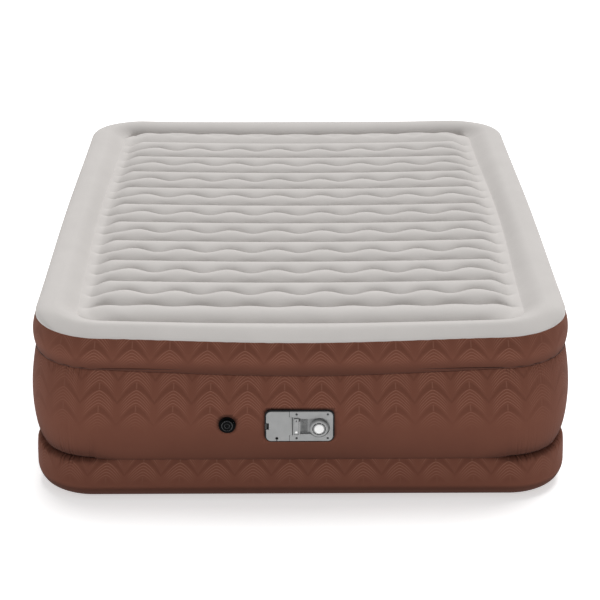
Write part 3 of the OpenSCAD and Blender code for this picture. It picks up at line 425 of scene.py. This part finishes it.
# %% Band builder
LOWER_IN, UPPER_IN, TOP_IN = 0.0168, 0.0148, 0.015
WANDER, WANDER_OVER, WANDER_MID = 0.0060, 0.012, 0.3
TOP_WANDER, TOP_WANDER_OVER = 0.0006, 0.010
PLEAT_IN, PLEAT_OVER, GATHER_IN, TOOTH_IN = 0.0060, 0.018, 0.014, 0.010
CREASE_OVER, TOOTH_OVER = 0.005, 0.014
PUFF_OUT, PUFF_FROM, PUFF_OVER = 0.005, 0.006, 0.030
CLOSE_PART, CLOSE_OVER, FAR_OVER = 0.6, 0.008, 0.035
fine_pleats, weld_waver = pleats(0.0075, 3), pleats(0.05, 23)
fullness = pleats(0.42, 31, 4)
tooth = np.clip(pleats(0.013, 47), 0, 1) ** 1.5
fine_folds = np.clip(fine_pleats, 0, 1) ** 1.3


def near(away, over):
    """1 at a weld, dying out over a length."""
    return np.exp(-away / over)


def weld_shift(z):
    """How far the welds wander up and down at a height, for every column."""
    lower = WANDER * corner_share * (WANDER_MID - tooth) * near(abs(z - LOWER_Z), WANDER_OVER)
    top = TOP_WANDER * weld_waver * near(abs(z - TOP_Z), TOP_WANDER_OVER)
    return lower + top


def pleat_relief(z, below_upper, at_lower):
    """Outward relief of the gathers at a height, for every column."""
    upper = -below_upper * PLEAT_IN * fine_folds * near(abs(UPPER_Z - z), PLEAT_OVER)
    away = abs(z - LOWER_Z)
    if at_lower:
        gathers = -GATHER_IN * near(away, CREASE_OVER) - TOOTH_IN * tooth * near(away, TOOTH_OVER)
        gathers += PUFF_OUT * (1 - near(away, PUFF_FROM)) * near(away, PUFF_OVER)
    else:
        reach = CLOSE_PART * near(away, CLOSE_OVER) + (1 - CLOSE_PART) * near(away, FAR_OVER)
        gathers = (-GATHER_IN - TOOTH_IN * tooth) * reach
    return corner_share * (upper + gathers)


def stack(profile, below_upper=0.0, at_lower=False, swell_noise=0.0):
    """Rings of points from the insets and heights of a section, with gathers and an uneven swell."""
    rows = []
    for inset, z, share in profile:
        middle_z = float(np.mean(z))
        ring = plan_ring(inset, middle_z)
        relief = pleat_relief(middle_z, below_upper, at_lower) + swell_noise * share * fullness
        flat = ring + outward * relief[:, None]
        height = full_height(z + np.zeros(COLS), end_share, side_turn) + weld_shift(middle_z)
        rows.append(np.concatenate([flat, height[:, None]], axis=1))
    return np.array(rows)


def closer_at_ends(u, even):
    """Steps from 0 to 1 that crowd towards both ends, more so when even is small."""
    return even * u + (1 - even) * (1 - np.cos(pi * u)) / 2


BAND_EVEN, BAND_POWER = 0.5, 0.85


def swelling(z0, in0, z1, in1, swell, count):
    """The section of a tube between two welds."""
    u = closer_at_ends(np.linspace(0, 1, count), BAND_EVEN)
    share = np.sin(pi * u) ** BAND_POWER
    return list(zip(in0 + (in1 - in0) * u - swell * share, z0 + (z1 - z0) * u, share))


ROWS_BELOW = 8
CORNER_FADE, FADE_FROM, FADE_OVER, WELD_SOFT = 0.6, 0.10, 0.55, 0.008


def around_map(points, shift, apex):
    """The ornament's two lengths: the way round from mid foot, and the height against an apex."""
    ring = np.vstack([points[len(points) // 2], points[len(points) // 2, :1]])[:, :2]
    way = np.concatenate([[0.0], np.cumsum(np.linalg.norm(np.diff(ring, axis=0), axis=1))])
    heights = np.concatenate([points[:, :, 2], points[:, :1, 2]], axis=1) - apex + ROWS_BELOW * ARCH_ROW
    return np.stack([np.broadcast_to(way - way[foot_mid] - shift, heights.shape), heights], axis=2)


def ornament_share(points, low, high, soft):
    """How strongly the ornament shows: between two heights, and less where the bed turns to a side."""
    z = points[:, :, 2]
    rise = smooth((z - low) / soft) * smooth((high - z) / WELD_SOFT)
    return rise * (1 - CORNER_FADE * smooth((np.abs(outward[:, 0]) - FADE_FROM) / FADE_OVER))[None, :]


FILM_THICK, BAND_FILL, TOP_FILL = 0.0006, 0.95, 0.9


def dress(piece, finish, fill, *replaced):
    """Give a soft piece its finish and thickness, hang it on the mattress body, and hide the solids it
    replaces.
    """
    piece.data.materials.append(finish)
    wall = piece.modifiers.new("film", "SOLIDIFY")
    wall.thickness = FILM_THICK
    wall.offset = -1.0
    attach(piece, "mattress")
    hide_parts(*replaced)
    print(piece.name, "points:", len(piece.data.vertices))


print("band helpers ready")

# %% [markdown]
# The upper band is a low tube between the upper weld and the top weld. The middle band is the tall one, and
# in the solids its foot strip is a piece of its own. On the bed no joint shows there, so one mesh stands for
# both.

# %% Upper and middle bands
upper = stack(swelling(UPPER_Z, UPPER_IN, TOP_Z, TOP_IN, swell=0.0082, count=24), swell_noise=0.0006)
upper_band = grid_mesh("upper_band", upper, True, around_map(upper, shift=0.001, apex=0.478),
                       ornament_share(upper, low=0.400, high=0.492, soft=0.04))
dress(upper_band, brown_flock, BAND_FILL, "upper_wall")

middle = stack(swelling(LOWER_Z, LOWER_IN, UPPER_Z, UPPER_IN, swell=0.0145, count=60),
               below_upper=1.0, swell_noise=0.0012)
middle_band = grid_mesh("middle_band", middle, True, around_map(middle, shift=0.005, apex=0.360),
                        ornament_share(middle, low=0.205, high=0.400, soft=0.09))
print("middle band points:", len(middle_band.data.vertices))

# %% [markdown]
# The middle band has two openings in the foot end, one for the pump's collar and one for the valve's flange.
# A real band is cut there and welded to them. Cutting with a boolean would leave ragged triangles in a fine
# grid, so the faces inside each opening are dropped and the edge that is left is drawn onto the outline.

# %% Openings in the middle band
import bmesh

COLLAR_BOX, COLLAR_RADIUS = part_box("pump_collar"), 0.018
FLANGE_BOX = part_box("valve_flange")
FLANGE_MID = (FLANGE_BOX[0] + FLANGE_BOX[1]) / 2
FLANGE_R = (FLANGE_BOX[1].x - FLANGE_BOX[0].x) / 2
FOOT_Y, HOLE_NEAR, EDGE_NEAR = -0.9, 0.03, 0.02


def collar_distance(x, z):
    """Signed distance to the collar's rounded outline, and the nearest point on it."""
    cx, cz = (COLLAR_BOX[0].x + COLLAR_BOX[1].x) / 2, (COLLAR_BOX[0].z + COLLAR_BOX[1].z) / 2
    hx = (COLLAR_BOX[1].x - COLLAR_BOX[0].x) / 2 - COLLAR_RADIUS
    hz = (COLLAR_BOX[1].z - COLLAR_BOX[0].z) / 2 - COLLAR_RADIUS
    qx, qz = abs(x - cx) - hx, abs(z - cz) - hz
    gap = np.hypot(max(qx, 0), max(qz, 0)) + min(max(qx, qz), 0) - COLLAR_RADIUS
    if max(qx, qz) <= 0:
        nx, nz = (1.0, 0.0) if qx > qz else (0.0, 1.0)
    else:
        nx, nz = max(qx, 0), max(qz, 0)
    size = np.hypot(nx, nz)
    nx, nz = np.sign(x - cx) * nx / size, np.sign(z - cz) * nz / size
    return gap, (x - nx * gap, z - nz * gap)


def flange_distance(x, z):
    """Signed distance to the flange's circle, and the nearest point on it."""
    dx, dz = x - FLANGE_MID.x, z - FLANGE_MID.z
    size = np.hypot(dx, dz)
    reach = FLANGE_R / max(size, 1e-9)
    return size - FLANGE_R, (FLANGE_MID.x + dx * reach, FLANGE_MID.z + dz * reach)


def open_hole(piece, away):
    """Drop the faces inside an outline in the foot end, and draw the edge that is left onto it."""
    edit = bmesh.new()
    edit.from_mesh(piece.data)
    front = [v for v in edit.verts if v.co.y < FOOT_Y and away(v.co.x, v.co.z)[0] < HOLE_NEAR]
    inside = {v for v in front if away(v.co.x, v.co.z)[0] < 0}
    doomed = [f for f in edit.faces if any(v in inside for v in f.verts)]
    bmesh.ops.delete(edit, geom=doomed, context="FACES")
    edge = [v for v in edit.verts if v.is_boundary and v.co.y < FOOT_Y
            and away(v.co.x, v.co.z)[0] < EDGE_NEAR]
    for v in edge:
        v.co.x, v.co.z = away(v.co.x, v.co.z)[1]
    edit.to_mesh(piece.data)
    edit.free()
    return len(edge)


for rule in (collar_distance, flange_distance):
    print("edge points drawn in:", open_hole(middle_band, rule))
dress(middle_band, brown_flock, BAND_FILL, "middle_wall", "foot_wall")

# %% [markdown]
# The lower band rolls under the bed. Its section is a quarter circle from the floor, then a gentle lean in
# to the lower weld.

# %% Lower band
ROLL_R, LOWER_FULL_IN = 0.062, 0.011
ROLL_ROWS, WALL_ROWS, WALL_EASE, WALL_POWER = 22, 36, 1.4, 2.6
angles = np.radians(np.linspace(0, 90, ROLL_ROWS))
rolled = [(LOWER_FULL_IN + ROLL_R - ROLL_R * sin(a), ROLL_R - ROLL_R * cos(a), 0.0) for a in angles]
rise = 1 - (1 - np.linspace(0, 1, WALL_ROWS)[1:]) ** WALL_EASE
leaning = [(LOWER_FULL_IN + (LOWER_IN - LOWER_FULL_IN) * u ** WALL_POWER,
            ROLL_R + (LOWER_Z - ROLL_R) * u, sin(pi * u)) for u in rise]
lower = stack(rolled + leaning, at_lower=True, swell_noise=0.0006)
lower_band = grid_mesh("lower_band", lower, True, around_map(lower, shift=0.019, apex=0.139),
                       ornament_share(lower, low=0.045, high=0.150, soft=0.05))
dress(lower_band, brown_flock, BAND_FILL, "lower_wall")

# %% [markdown]
# ## Rim
# The rim is a fat roll round the sleeping surface. Its section is a superellipse, close to an ellipse at the
# head and squarer along the sides, with one foot on the top weld and the other, lower foot in the inner weld.
# Along the sides the inner weld lies a little higher and bows out, and the roll runs down to it gently. At
# the foot the roll leans in: a tight crest near its middle, and a nearly straight slope from there out to the
# top weld. A swept tube would have one section all round, so it is worked out for every column instead.

# %% Rim roll
FIELD_Z, SIDE_RISE, RIM_SQUARE, SIDE_SQUARE = 0.474, 0.006, 1.9, 2.7
LEAN_CREST, LEAN_LOW, LEAN_ROUND = 0.061, 0.003, 0.28
INNER_BEND, INNER_EASE, SLOPE_PART, LIP_PART, LIP_POWER = 1.8, 0.55, 0.94, 0.06, 14
SIDE_GENTLE, INNER_POWER, RIM_ROWS = 1.15, 1.5, 48
FOOT_FROM, FOOT_OVER = 0.35, 0.5
BOW_IN, BOW_OUT, BOW_HALF = 0.0134, 0.0150, 0.80
turn = np.linspace(0, pi, RIM_ROWS)
rim_mid, rim_half = (TOP_IN + RIM_W) / 2, (RIM_W - TOP_IN) / 2
inner_foot = FIELD_Z + SIDE_RISE * side_share
foot_share = smooth((-outward[:, 1] - FOOT_FROM) / FOOT_OVER)


def side_bow(y):
    """The inner weld bows out along the sides."""
    return -BOW_IN + BOW_OUT * np.cos(pi / 2 * np.clip(y / BOW_HALF, -1, 1)) ** 2


def round_section(inset):
    """Height of the even roll at an inset, for every column."""
    a = min(abs(rim_mid - inset) / rim_half, 1.0)
    full = (1 - a ** RIM_SQUARE) ** (1 / RIM_SQUARE)
    flat = (1 - a ** SIDE_SQUARE) ** (1 / SIDE_SQUARE)
    if inset < rim_mid:
        return TOP_Z + (HEIGHT - TOP_Z) * (full + (flat - full) * side_share)
    gentle = full + (cos(pi / 2 * a) ** SIDE_GENTLE - full) * side_share
    return inner_foot + (HEIGHT - inner_foot) * gentle


def leaning_section(inset):
    """Height of the leaning roll at the foot, for every column."""
    crest = HEIGHT - LEAN_LOW
    if inset > LEAN_CREST:
        b = (inset - LEAN_CREST) / (RIM_W - LEAN_CREST)
        return inner_foot + (crest - inner_foot) * max(1 - b ** INNER_BEND, 0) ** INNER_EASE
    a = (LEAN_CREST - inset) / (LEAN_CREST - TOP_IN)
    slope = (np.hypot(a, LEAN_ROUND) - LEAN_ROUND) / (np.hypot(1, LEAN_ROUND) - LEAN_ROUND)
    return np.full(COLS, crest - (crest - TOP_Z) * (SLOPE_PART * slope + LIP_PART * a ** LIP_POWER))


rim_profile = []
for inset in rim_mid - rim_half * np.cos(turn):
    even, leaning = round_section(inset), leaning_section(inset)
    across = (inset - TOP_IN) / (RIM_W - TOP_IN)
    rim_profile.append((inset, even + (leaning - even) * foot_share, sin(pi * across)))
rim = stack(rim_profile, swell_noise=0.0008)
inner_half = np.clip(-np.cos(turn), 0, 1)[:, None] ** INNER_POWER
rim[:, :, 0] += inner_half * np.sign(rim[:, :, 0]) * side_bow(rim[:, :, 1]) * side_share[None, :]
rim_roll = grid_mesh("rim_roll", rim, True)
dress(rim_roll, pale_flock, BAND_FILL, "rim_panel")

# %% [markdown]
# ## Sleeping surface
# Welds cross the bed every 83 mm, straight and wavy in turn, and the film swells between them into channels.
# A channel is a little taller where its two welds are further apart, so the wavy welds make the crests rise
# and fall. The wavy welds also stand a few millimetres higher than the straight ones, which swing only
# slightly. At the sides all welds come down to one level, and the channels fade out there into rounded tips.
# The channels at the foot and the head have their own height and run out over a longer stretch. Sculpting by
# hand would not come out even, so every row of points is worked out from the two welds beside it. The
# outermost points are tucked under the rim.

# %% Channels
PITCH, LAST, CHANNEL_ROWS, FIELD_COLS = 0.083, 9, 14, 210
WAVE, SWING, WIDE_POWER = 0.142, 0.0170, 0.3
CREST, FOOT_CREST, HEAD_CREST = 0.0255, 0.033, 0.027
WAVY_UP, WAVY_FORWARD = 0.008, 0.008
STRAIGHT_SWING, FIRST_SWING, LAST_SWING = 0.22, 0.45, 0.7
END_BEND, BEND_OVER, RISE_OVER, PLAIN = 0.014, 0.08, 0.032, 0.004
STRAIGHT_FADE, WAVY_FADE, FOOT_FADE, HEAD_FADE = 0.085, 0.075, 0.110, 0.090
FADE_POWER, END_FADE_POWER, FOOT_SKEW = 0.8, 0.5, 0.78
LAST_GROOVE, GROOVE_HALF = 0.007, 0.011
FIELD_EVEN, SIDE_CROWD, TUCK_OUT, TUCK_DOWN = 0.6, 0.25, 1.008, 0.0006
FIELD_HW = round(HALF_W - SIDE_PULL * FIELD_Z / HEIGHT - RIM_W, 4)
FIELD_HL = round(HALF_L - END_PULL * FIELD_Z / HEIGHT - RIM_W, 4)
foot_r, head_r = corner_radius(FIELD_Z) - RIM_W, corner_radius(FIELD_Z, True) - RIM_W
corner_x = HALF_W - corner_radius(FIELD_Z) - SIDE_PULL * FIELD_Z / HEIGHT


def weld_y(k):
    """Where a weld lies along the bed, or the field's edge beyond the last weld."""
    return np.sign(k) * FIELD_HL if abs(k) > LAST else k * PITCH


def weld_path(k, x, tip):
    """Where a weld runs and how far it stands up, with tip from 0 inside to 1 at the side edge."""
    wave = np.cos(2 * pi * x / WAVE)
    if abs(k) > LAST:
        return np.full_like(x, weld_y(k)), np.zeros_like(x)
    if k % 2 == 0:
        return weld_y(k) - WAVY_FORWARD - SWING * wave, WAVY_UP * (1 - tip)
    swing = FIRST_SWING if k == -LAST else STRAIGHT_SWING
    return weld_y(k) + swing * SWING * wave - END_BEND * tip, np.zeros_like(x)


def last_wavy(x):
    """The shallow wavy weld in the channel at the head."""
    return (LAST + 1) * PITCH - WAVY_FORWARD - LAST_SWING * SWING * np.cos(2 * pi * x / WAVE)


def half_width(y):
    """Half the field's width at a row, and how squarely its edge faces the side there."""
    r = head_r if y > 0 else foot_r
    over = min(max(abs(y) - (FIELD_HL - r), 0.0), r)
    facing = np.sqrt(1 - (over / r) ** 2)
    return FIELD_HW - r + r * facing + side_bow(y) * side_part(facing), facing


def arc_height(u, width, crest):
    """Height of a round arch of a given width and crest, at a share of its width."""
    r = (width ** 2 / 4 + crest ** 2) / (2 * crest)
    return np.sqrt(np.maximum(r ** 2 - ((u - 0.5) * width) ** 2, 0)) - (r - crest)


def channel_row(k, u, share):
    """One row of points across the bed, at a share of the way from weld k to the next."""
    row_y = (1 - u) * weld_y(k) + u * weld_y(k + 1)
    edge, facing = half_width(row_y)
    x = share * edge
    inward = edge - np.abs(x)
    tip = smooth(1 - inward / BEND_OVER)
    (front, front_up), (rear, rear_up) = weld_path(k, x, tip), weld_path(k + 1, x, tip)
    if -LAST <= k < LAST:
        by_wavy = u if k % 2 else 1 - u
        crest = CREST * ((rear - front) / PITCH) ** WIDE_POWER
        fade = smooth(inward / (STRAIGHT_FADE + (WAVY_FADE - STRAIGHT_FADE) * by_wavy)) ** FADE_POWER
    else:
        crest = np.full_like(x, FOOT_CREST if k < 0 else HEAD_CREST)
        fade = smooth(inward / (FOOT_FADE if k < 0 else HEAD_FADE)) ** END_FADE_POWER
    side_rise = SIDE_RISE * side_part(facing) * smooth((RISE_OVER - inward) / (RISE_OVER - PLAIN))
    weld_z = FIELD_Z + (1 - u) * front_up + u * rear_up + side_rise
    base = full_height(weld_z, np.minimum(np.abs(x) / corner_x, 1.0), to_side(facing, row_y))
    y = (1 - u) * front + u * rear
    up = arc_height(u ** FOOT_SKEW if k < -LAST else u, rear - front, crest)
    if k == LAST:
        up = up - LAST_GROOVE * np.exp(-((y - last_wavy(x)) / GROOVE_HALF) ** 2) * sin(pi * u)
    return np.stack([x, y, base + up * fade], axis=1)


share = np.linspace(-1, 1, FIELD_COLS)
share = share * (1 + SIDE_CROWD - SIDE_CROWD * share ** 2)
field = []
for k in range(-LAST - 1, LAST + 1):
    steps = np.linspace(0, 1, CHANNEL_ROWS + 1)[:None if k == LAST else -1]
    field += [channel_row(k, u, share) for u in closer_at_ends(steps, FIELD_EVEN)]
field = np.pad(np.array(field), ((1, 1), (1, 1), (0, 0)), mode="edge")
for edge in (np.s_[0], np.s_[-1], np.s_[:, 0], np.s_[:, -1]):
    field[edge] *= (TUCK_OUT, TUCK_OUT, 1.0)
    field[edge] -= (0.0, 0.0, TUCK_DOWN)
sleeping_top = grid_mesh("sleeping_top", field)
print("sleeping top rows and columns:", field.shape[:2])

# %% [markdown]
# The channels so far are drawn by rule. The last bit of their roundness comes from air: the cloth solver
# blows the film up for 20 steps with every weld and the edge held, and no point may move more than 3 mm.
# The solver has no gravity, uses no chance, and leaves only its result, so each run gives the same bed.

# %% Blow up the channels
AIR_PRESSURE, AIR_STEPS, MOST_MOVE = 4.0, 20, 0.003
FILM_MASS, FILM_STIFF, FILM_BEND, SOLVER_QUALITY = 0.3, 25.0, 0.2, 4


def blow_up(piece, held, cap):
    """Swell a piece with the cloth solver, some points held, and keep the capped result."""
    start = np.empty(len(piece.data.vertices) * 3)
    piece.data.vertices.foreach_get("co", start)
    start = start.reshape(-1, 3)
    group = piece.vertex_groups.new(name="welds")
    group.add(held.tolist(), 1.0, "REPLACE")
    air = piece.modifiers.new("air", "CLOTH")
    film = air.settings
    film.vertex_group_mass, film.quality, film.mass = "welds", SOLVER_QUALITY, FILM_MASS
    film.tension_stiffness = film.compression_stiffness = film.shear_stiffness = FILM_STIFF
    film.bending_stiffness = FILM_BEND
    film.use_pressure, film.uniform_pressure_force = True, AIR_PRESSURE
    film.effector_weights.gravity = 0.0
    air.collision_settings.use_collision = False
    for step in range(1, AIR_STEPS + 1):
        bpy.context.scene.frame_set(step)
    swollen = piece.evaluated_get(bpy.context.evaluated_depsgraph_get()).data
    end = np.empty(len(start) * 3)
    swollen.vertices.foreach_get("co", end)
    move = end.reshape(-1, 3) - start
    far = np.maximum(np.linalg.norm(move, axis=1, keepdims=True), 1e-9)
    print("%s swells by up to %.1f mm, kept within %.1f mm" % (piece.name, 1000 * far.max(), 1000 * cap))
    piece.modifiers.remove(air)
    bpy.context.scene.frame_set(1)
    piece.vertex_groups.remove(group)
    piece.data.vertices.foreach_set("co", (start + move / far * cap * np.tanh(far / cap)).ravel())
    piece.data.update()


numbers = np.arange(field.shape[0] * field.shape[1]).reshape(field.shape[:2])
welds = np.concatenate([numbers[1:-1:CHANNEL_ROWS].ravel(), numbers[[0, 1, -2, -1]].ravel(),
                        numbers[:, [0, 1, -2, -1]].ravel()])
blow_up(sleeping_top, np.unique(welds), MOST_MOVE)
dress(sleeping_top, pale_flock, TOP_FILL, "wave_panel")

# %% [markdown]
# ## Floor and light
# The floor is a plain pale sheet that glows a little, as a light table does, so the bed's shadow stays soft.
# The light is one very soft sun high up and to the rear, with a dim white surround. Tops come out bright,
# faces that turn to the viewer are shaded, and away from the bed the floor burns out to white.

# %% Stage
FLOOR_HALF, FLOOR_DROP, FLOOR_GLOW, SKY_GLOW = 20, 0.0005, 0.55, 0.30
SUN_POWER, SUN_SPREAD, LEAN_BACK, LEAN_RIGHT = 2.86, 0.785, 0.44, 0.12
floor_corners = [(x * FLOOR_HALF, y * FLOOR_HALF, 0) for x, y in ((-1, -1), (1, -1), (1, 1), (-1, 1))]
floor_mesh = bpy.data.meshes.new("studio_floor")
floor_mesh.from_pydata(floor_corners, [], [(0, 1, 2, 3)])
studio_floor = bpy.data.objects.new("studio_floor", floor_mesh)
studio_floor.location.z = -FLOOR_DROP
bpy.context.scene.collection.objects.link(studio_floor)
floor_finish, tree, shader, place = start_finish("studio_paper")
tree.links.new(blend_colours(tree, grain(tree, place, 3.0), (0.92, 0.92, 0.92), (0.94, 0.94, 0.94)),
               shader.inputs["Base Color"])
shader.inputs["Roughness"].default_value = 0.95
shader.inputs["Emission Color"].default_value = (1.0, 1.0, 1.0, 1.0)
shader.inputs["Emission Strength"].default_value = FLOOR_GLOW
floor_mesh.materials.append(floor_finish)

scene = bpy.context.scene
scene.world = bpy.data.worlds.new("studio")
scene.world.use_nodes = True
sky = scene.world.node_tree.nodes["Background"]
sky.inputs["Color"].default_value = (1.0, 1.0, 1.0, 1.0)
sky.inputs["Strength"].default_value = SKY_GLOW
scene.view_settings.view_transform = "Standard"

sun = bpy.data.lights.new("overhead", "SUN")
sun.energy, sun.angle = SUN_POWER, SUN_SPREAD
overhead = bpy.data.objects.new("overhead", sun)
shines_along = Vector((-LEAN_RIGHT, -sin(LEAN_BACK), -cos(LEAN_BACK)))
overhead.rotation_euler = shines_along.to_track_quat("-Z", "Y").to_euler()
scene.collection.objects.link(overhead)

# %% [markdown]
# ## Hard finishes
# The pump is moulded plastic with a fine spark-eroded texture, the collar and the valve are soft black
# vinyl, and a few parts are metal. One function makes them all. A recipe gives the darker and the paler
# colour, the roughness from smooth to dull, the scale and depth of the grain, and then how metallic and how
# shiny the finish is, where that isn't a plain plastic's.

# %% Plastics, vinyl and metals
MOTTLE_SCALE, GRAIN_BUMP = 35.0, 0.6


def moulded(name, dark, light, rough, grain_scale, depth, metal=0.0, shine=0.5):
    finish, tree, shader, place = start_finish(name)
    texture = grain(tree, place, grain_scale, 2.0)
    mottle = between(tree, grain(tree, place, MOTTLE_SCALE, 4.0), 0.0, 1.0)
    tree.links.new(blend_colours(tree, mottle, srgb(*dark), srgb(*light)), shader.inputs["Base Color"])
    tree.links.new(between(tree, texture, *rough), shader.inputs["Roughness"])
    tree.links.new(bump(tree, texture, depth, GRAIN_BUMP), shader.inputs["Normal"])
    shader.inputs["Metallic"].default_value = metal
    shader.inputs["Specular IOR Level"].default_value = shine
    return finish


recipes = {
    "panel_grey": ((155, 156, 156), (165, 166, 166), (0.42, 0.58), 2600, 0.00008),
    "dark_grey": ((126, 127, 127), (136, 137, 137), (0.40, 0.55), 2600, 0.00008),
    "soft_black": ((12, 12, 13), (20, 20, 21), (0.30, 0.46), 1500, 0.00010, 0.0, 0.2),
    "hard_black": ((9, 9, 10), (15, 15, 16), (0.16, 0.30), 900, 0.00004),
    "white": ((251, 251, 250), (255, 255, 254), (0.20, 0.34), 1200, 0.00004),
    "steel": ((168, 170, 173), (198, 200, 203), (0.24, 0.40), 1800, 0.00003, 1.0),
    "screw_black": ((52, 53, 55), (70, 71, 73), (0.30, 0.45), 1800, 0.00003, 0.6),
    "brass": ((196, 160, 92), (218, 184, 112), (0.25, 0.42), 1800, 0.00003, 1.0),
    "winding": ((140, 72, 42), (176, 98, 60), (0.28, 0.45), 700, 0.00020, 0.8),
    "iron": ((58, 58, 60), (80, 80, 82), (0.45, 0.62), 1100, 0.00008, 0.7),
    "film": ((178, 180, 182), (192, 194, 196), (0.38, 0.55), 600, 0.00010),
    # Partly painted shade: the girth sheets are real film, but their edges show only in the seam creases, so
    # they get a brown darker than the bands' to match the shade there.
    "seam_film_in_shade": ((58, 34, 28), (68, 41, 34), (0.50, 0.65), 600, 0.00010),
    "screen_grey": ((150, 151, 151), (160, 161, 161), (0.45, 0.60), 2600, 0.00008),
    "valve_black": ((2, 2, 3), (5, 5, 6), (0.30, 0.42), 1500, 0.00006, 0.0, 0.05),
    # Painted highlight: the cap's rings share the cap's black plastic, and this paler grey makes them look
    # lit.
    "ring_painted_highlight": ((34, 35, 38), (42, 43, 46), (0.10, 0.20), 1500, 0.00003, 0.0, 0.7),
    "shell_grey": ((34, 35, 36), (44, 45, 46), (0.45, 0.60), 2600, 0.00008),
}
finishes = {name: moulded(name, *recipe) for name, recipe in recipes.items()}
# The girth sheets take the darker brown of the painted crease shade.
own_finish = {"cover_screws": "screw_black", "pump_housing": "shell_grey", "door_catch": "hard_black",
              "upper_girth_sheet": "seam_film_in_shade", "lower_girth_sheet": "seam_film_in_shade",
              "intake_screen": "screen_grey", "valve_cap": "valve_black", "valve_flange": "valve_black",
              "valve_body": "valve_black"}
print("finishes:", sorted(finishes))

# %% [markdown]
# Each solid takes the finish of its slot in the record. The solids come with sharp edges, and real moulded
# edges are never quite sharp, so a weld and a small bevel round them. Thin inner film stays as it is.

# %% Finish the solids
WELD_GAP, EDGE_ROUND, EDGE_STEPS, EDGE_ANGLE = 0.00001, 0.0004, 2, 0.6
slot_of = {row["node"]: row["material_slot"] for row in frame["record"]["subparts"]}
SOFT = {"wave_panel", "rim_panel", "upper_wall", "middle_wall", "foot_wall", "lower_wall"}
for name, solid in nodes.items():
    if name in SOFT:
        continue
    slot = slot_of[name]
    solid.data.materials.clear()
    solid.data.materials.append(finishes[own_finish.get(name, slot)])
    if slot == "film":
        continue
    weld = solid.modifiers.new("weld", "WELD")
    weld.merge_threshold = WELD_GAP
    edge = solid.modifiers.new("edge", "BEVEL")
    edge.width, edge.segments = EDGE_ROUND, EDGE_STEPS
    edge.limit_method, edge.angle_limit = "ANGLE", EDGE_ANGLE
print("finished solids:", len(nodes) - len(SOFT))

# %% [markdown]
# The little spring of the pump's valve is squeezed when the valve lifts, which a rigid solid can't show. A
# copy of its mesh takes its place, with mesh data of its own, and rides the mattress.

# %% Spring
spring = bpy.data.objects.new("valve_spring", nodes["check_spring"].data.copy())
bpy.context.scene.collection.objects.link(spring)
spring.matrix_world = nodes["check_spring"].matrix_world.copy()
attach(spring, "mattress")
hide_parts("check_spring")
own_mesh(spring)

# %% [markdown]
# ## Small rings and marks
# The valve's cap has two raised rings, part of its moulding, glossy and a paler grey than the cap: the pale
# grey is a painted highlight where they catch the light. The panel has two small dark marks, one on the
# rocker and one at the upper left corner of the recess beside it. Each is too small for the solids, so each
# is a small mesh that rides the body it belongs to. A ray shot at the face finds how far out it lies.

# %% Rings and marks
IN_FRONT, MARK_THICK = -1.2, 0.0006
CAP_X, CAP_Z = round(FLANGE_MID.x, 4), round(FLANGE_MID.z, 4)


def face_y(node, x, z):
    """Where a solid's front face lies at a spot seen from the foot."""
    inverse = nodes[node].matrix_world.inverted()
    start, along = inverse @ Vector((x, IN_FRONT, z)), inverse.to_3x3() @ Vector((0, 1, 0))
    hit, place, _, _ = nodes[node].ray_cast(start, along)
    return (nodes[node].matrix_world @ place).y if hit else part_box(node)[0].y


def small_piece(name, finish, body):
    """Name and finish the mesh that was just added, and let it ride a body."""
    piece = bpy.context.object
    piece.name = name
    piece.data.transform(piece.matrix_basis)
    piece.matrix_basis.identity()
    piece.data.materials.append(finishes[finish])
    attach(piece, body)
    print(name, "at", [round(v, 4) for v in piece.data.vertices[0].co])
    return piece


# The raised rings on the cap, in the paler grey of the painted highlight.
for name, radius, tube in (("cap_ring_inner", 0.0065, 0.0008), ("cap_ring_outer", 0.0145, 0.0009)):
    spot = (CAP_X, face_y("valve_cap", CAP_X + radius, CAP_Z), CAP_Z)
    bpy.ops.mesh.primitive_torus_add(major_radius=radius, minor_radius=tube, major_segments=64,
                                     minor_segments=10, location=spot, rotation=(pi / 2, 0, 0))
    small_piece(name, "ring_painted_highlight", "valve_cap").data.shade_smooth()
# Two small dark boxes: a mark on the rocker, and a dark mark at the upper left corner of the recess.
for name, node, x, z, wide, high in (("rocker_mark", "rocker", -0.0140, 0.2565, 0.0026, 0.0070),
                                     ("slot_mark", "pump_cover", -0.0047, 0.2575, 0.0044, 0.0100)):
    bpy.ops.mesh.primitive_cube_add(size=1, location=(x, face_y(node, x, z), z),
                                    scale=(wide, MARK_THICK, high))
    small_piece(name, "hard_black", "rocker" if node == "rocker" else "mattress")
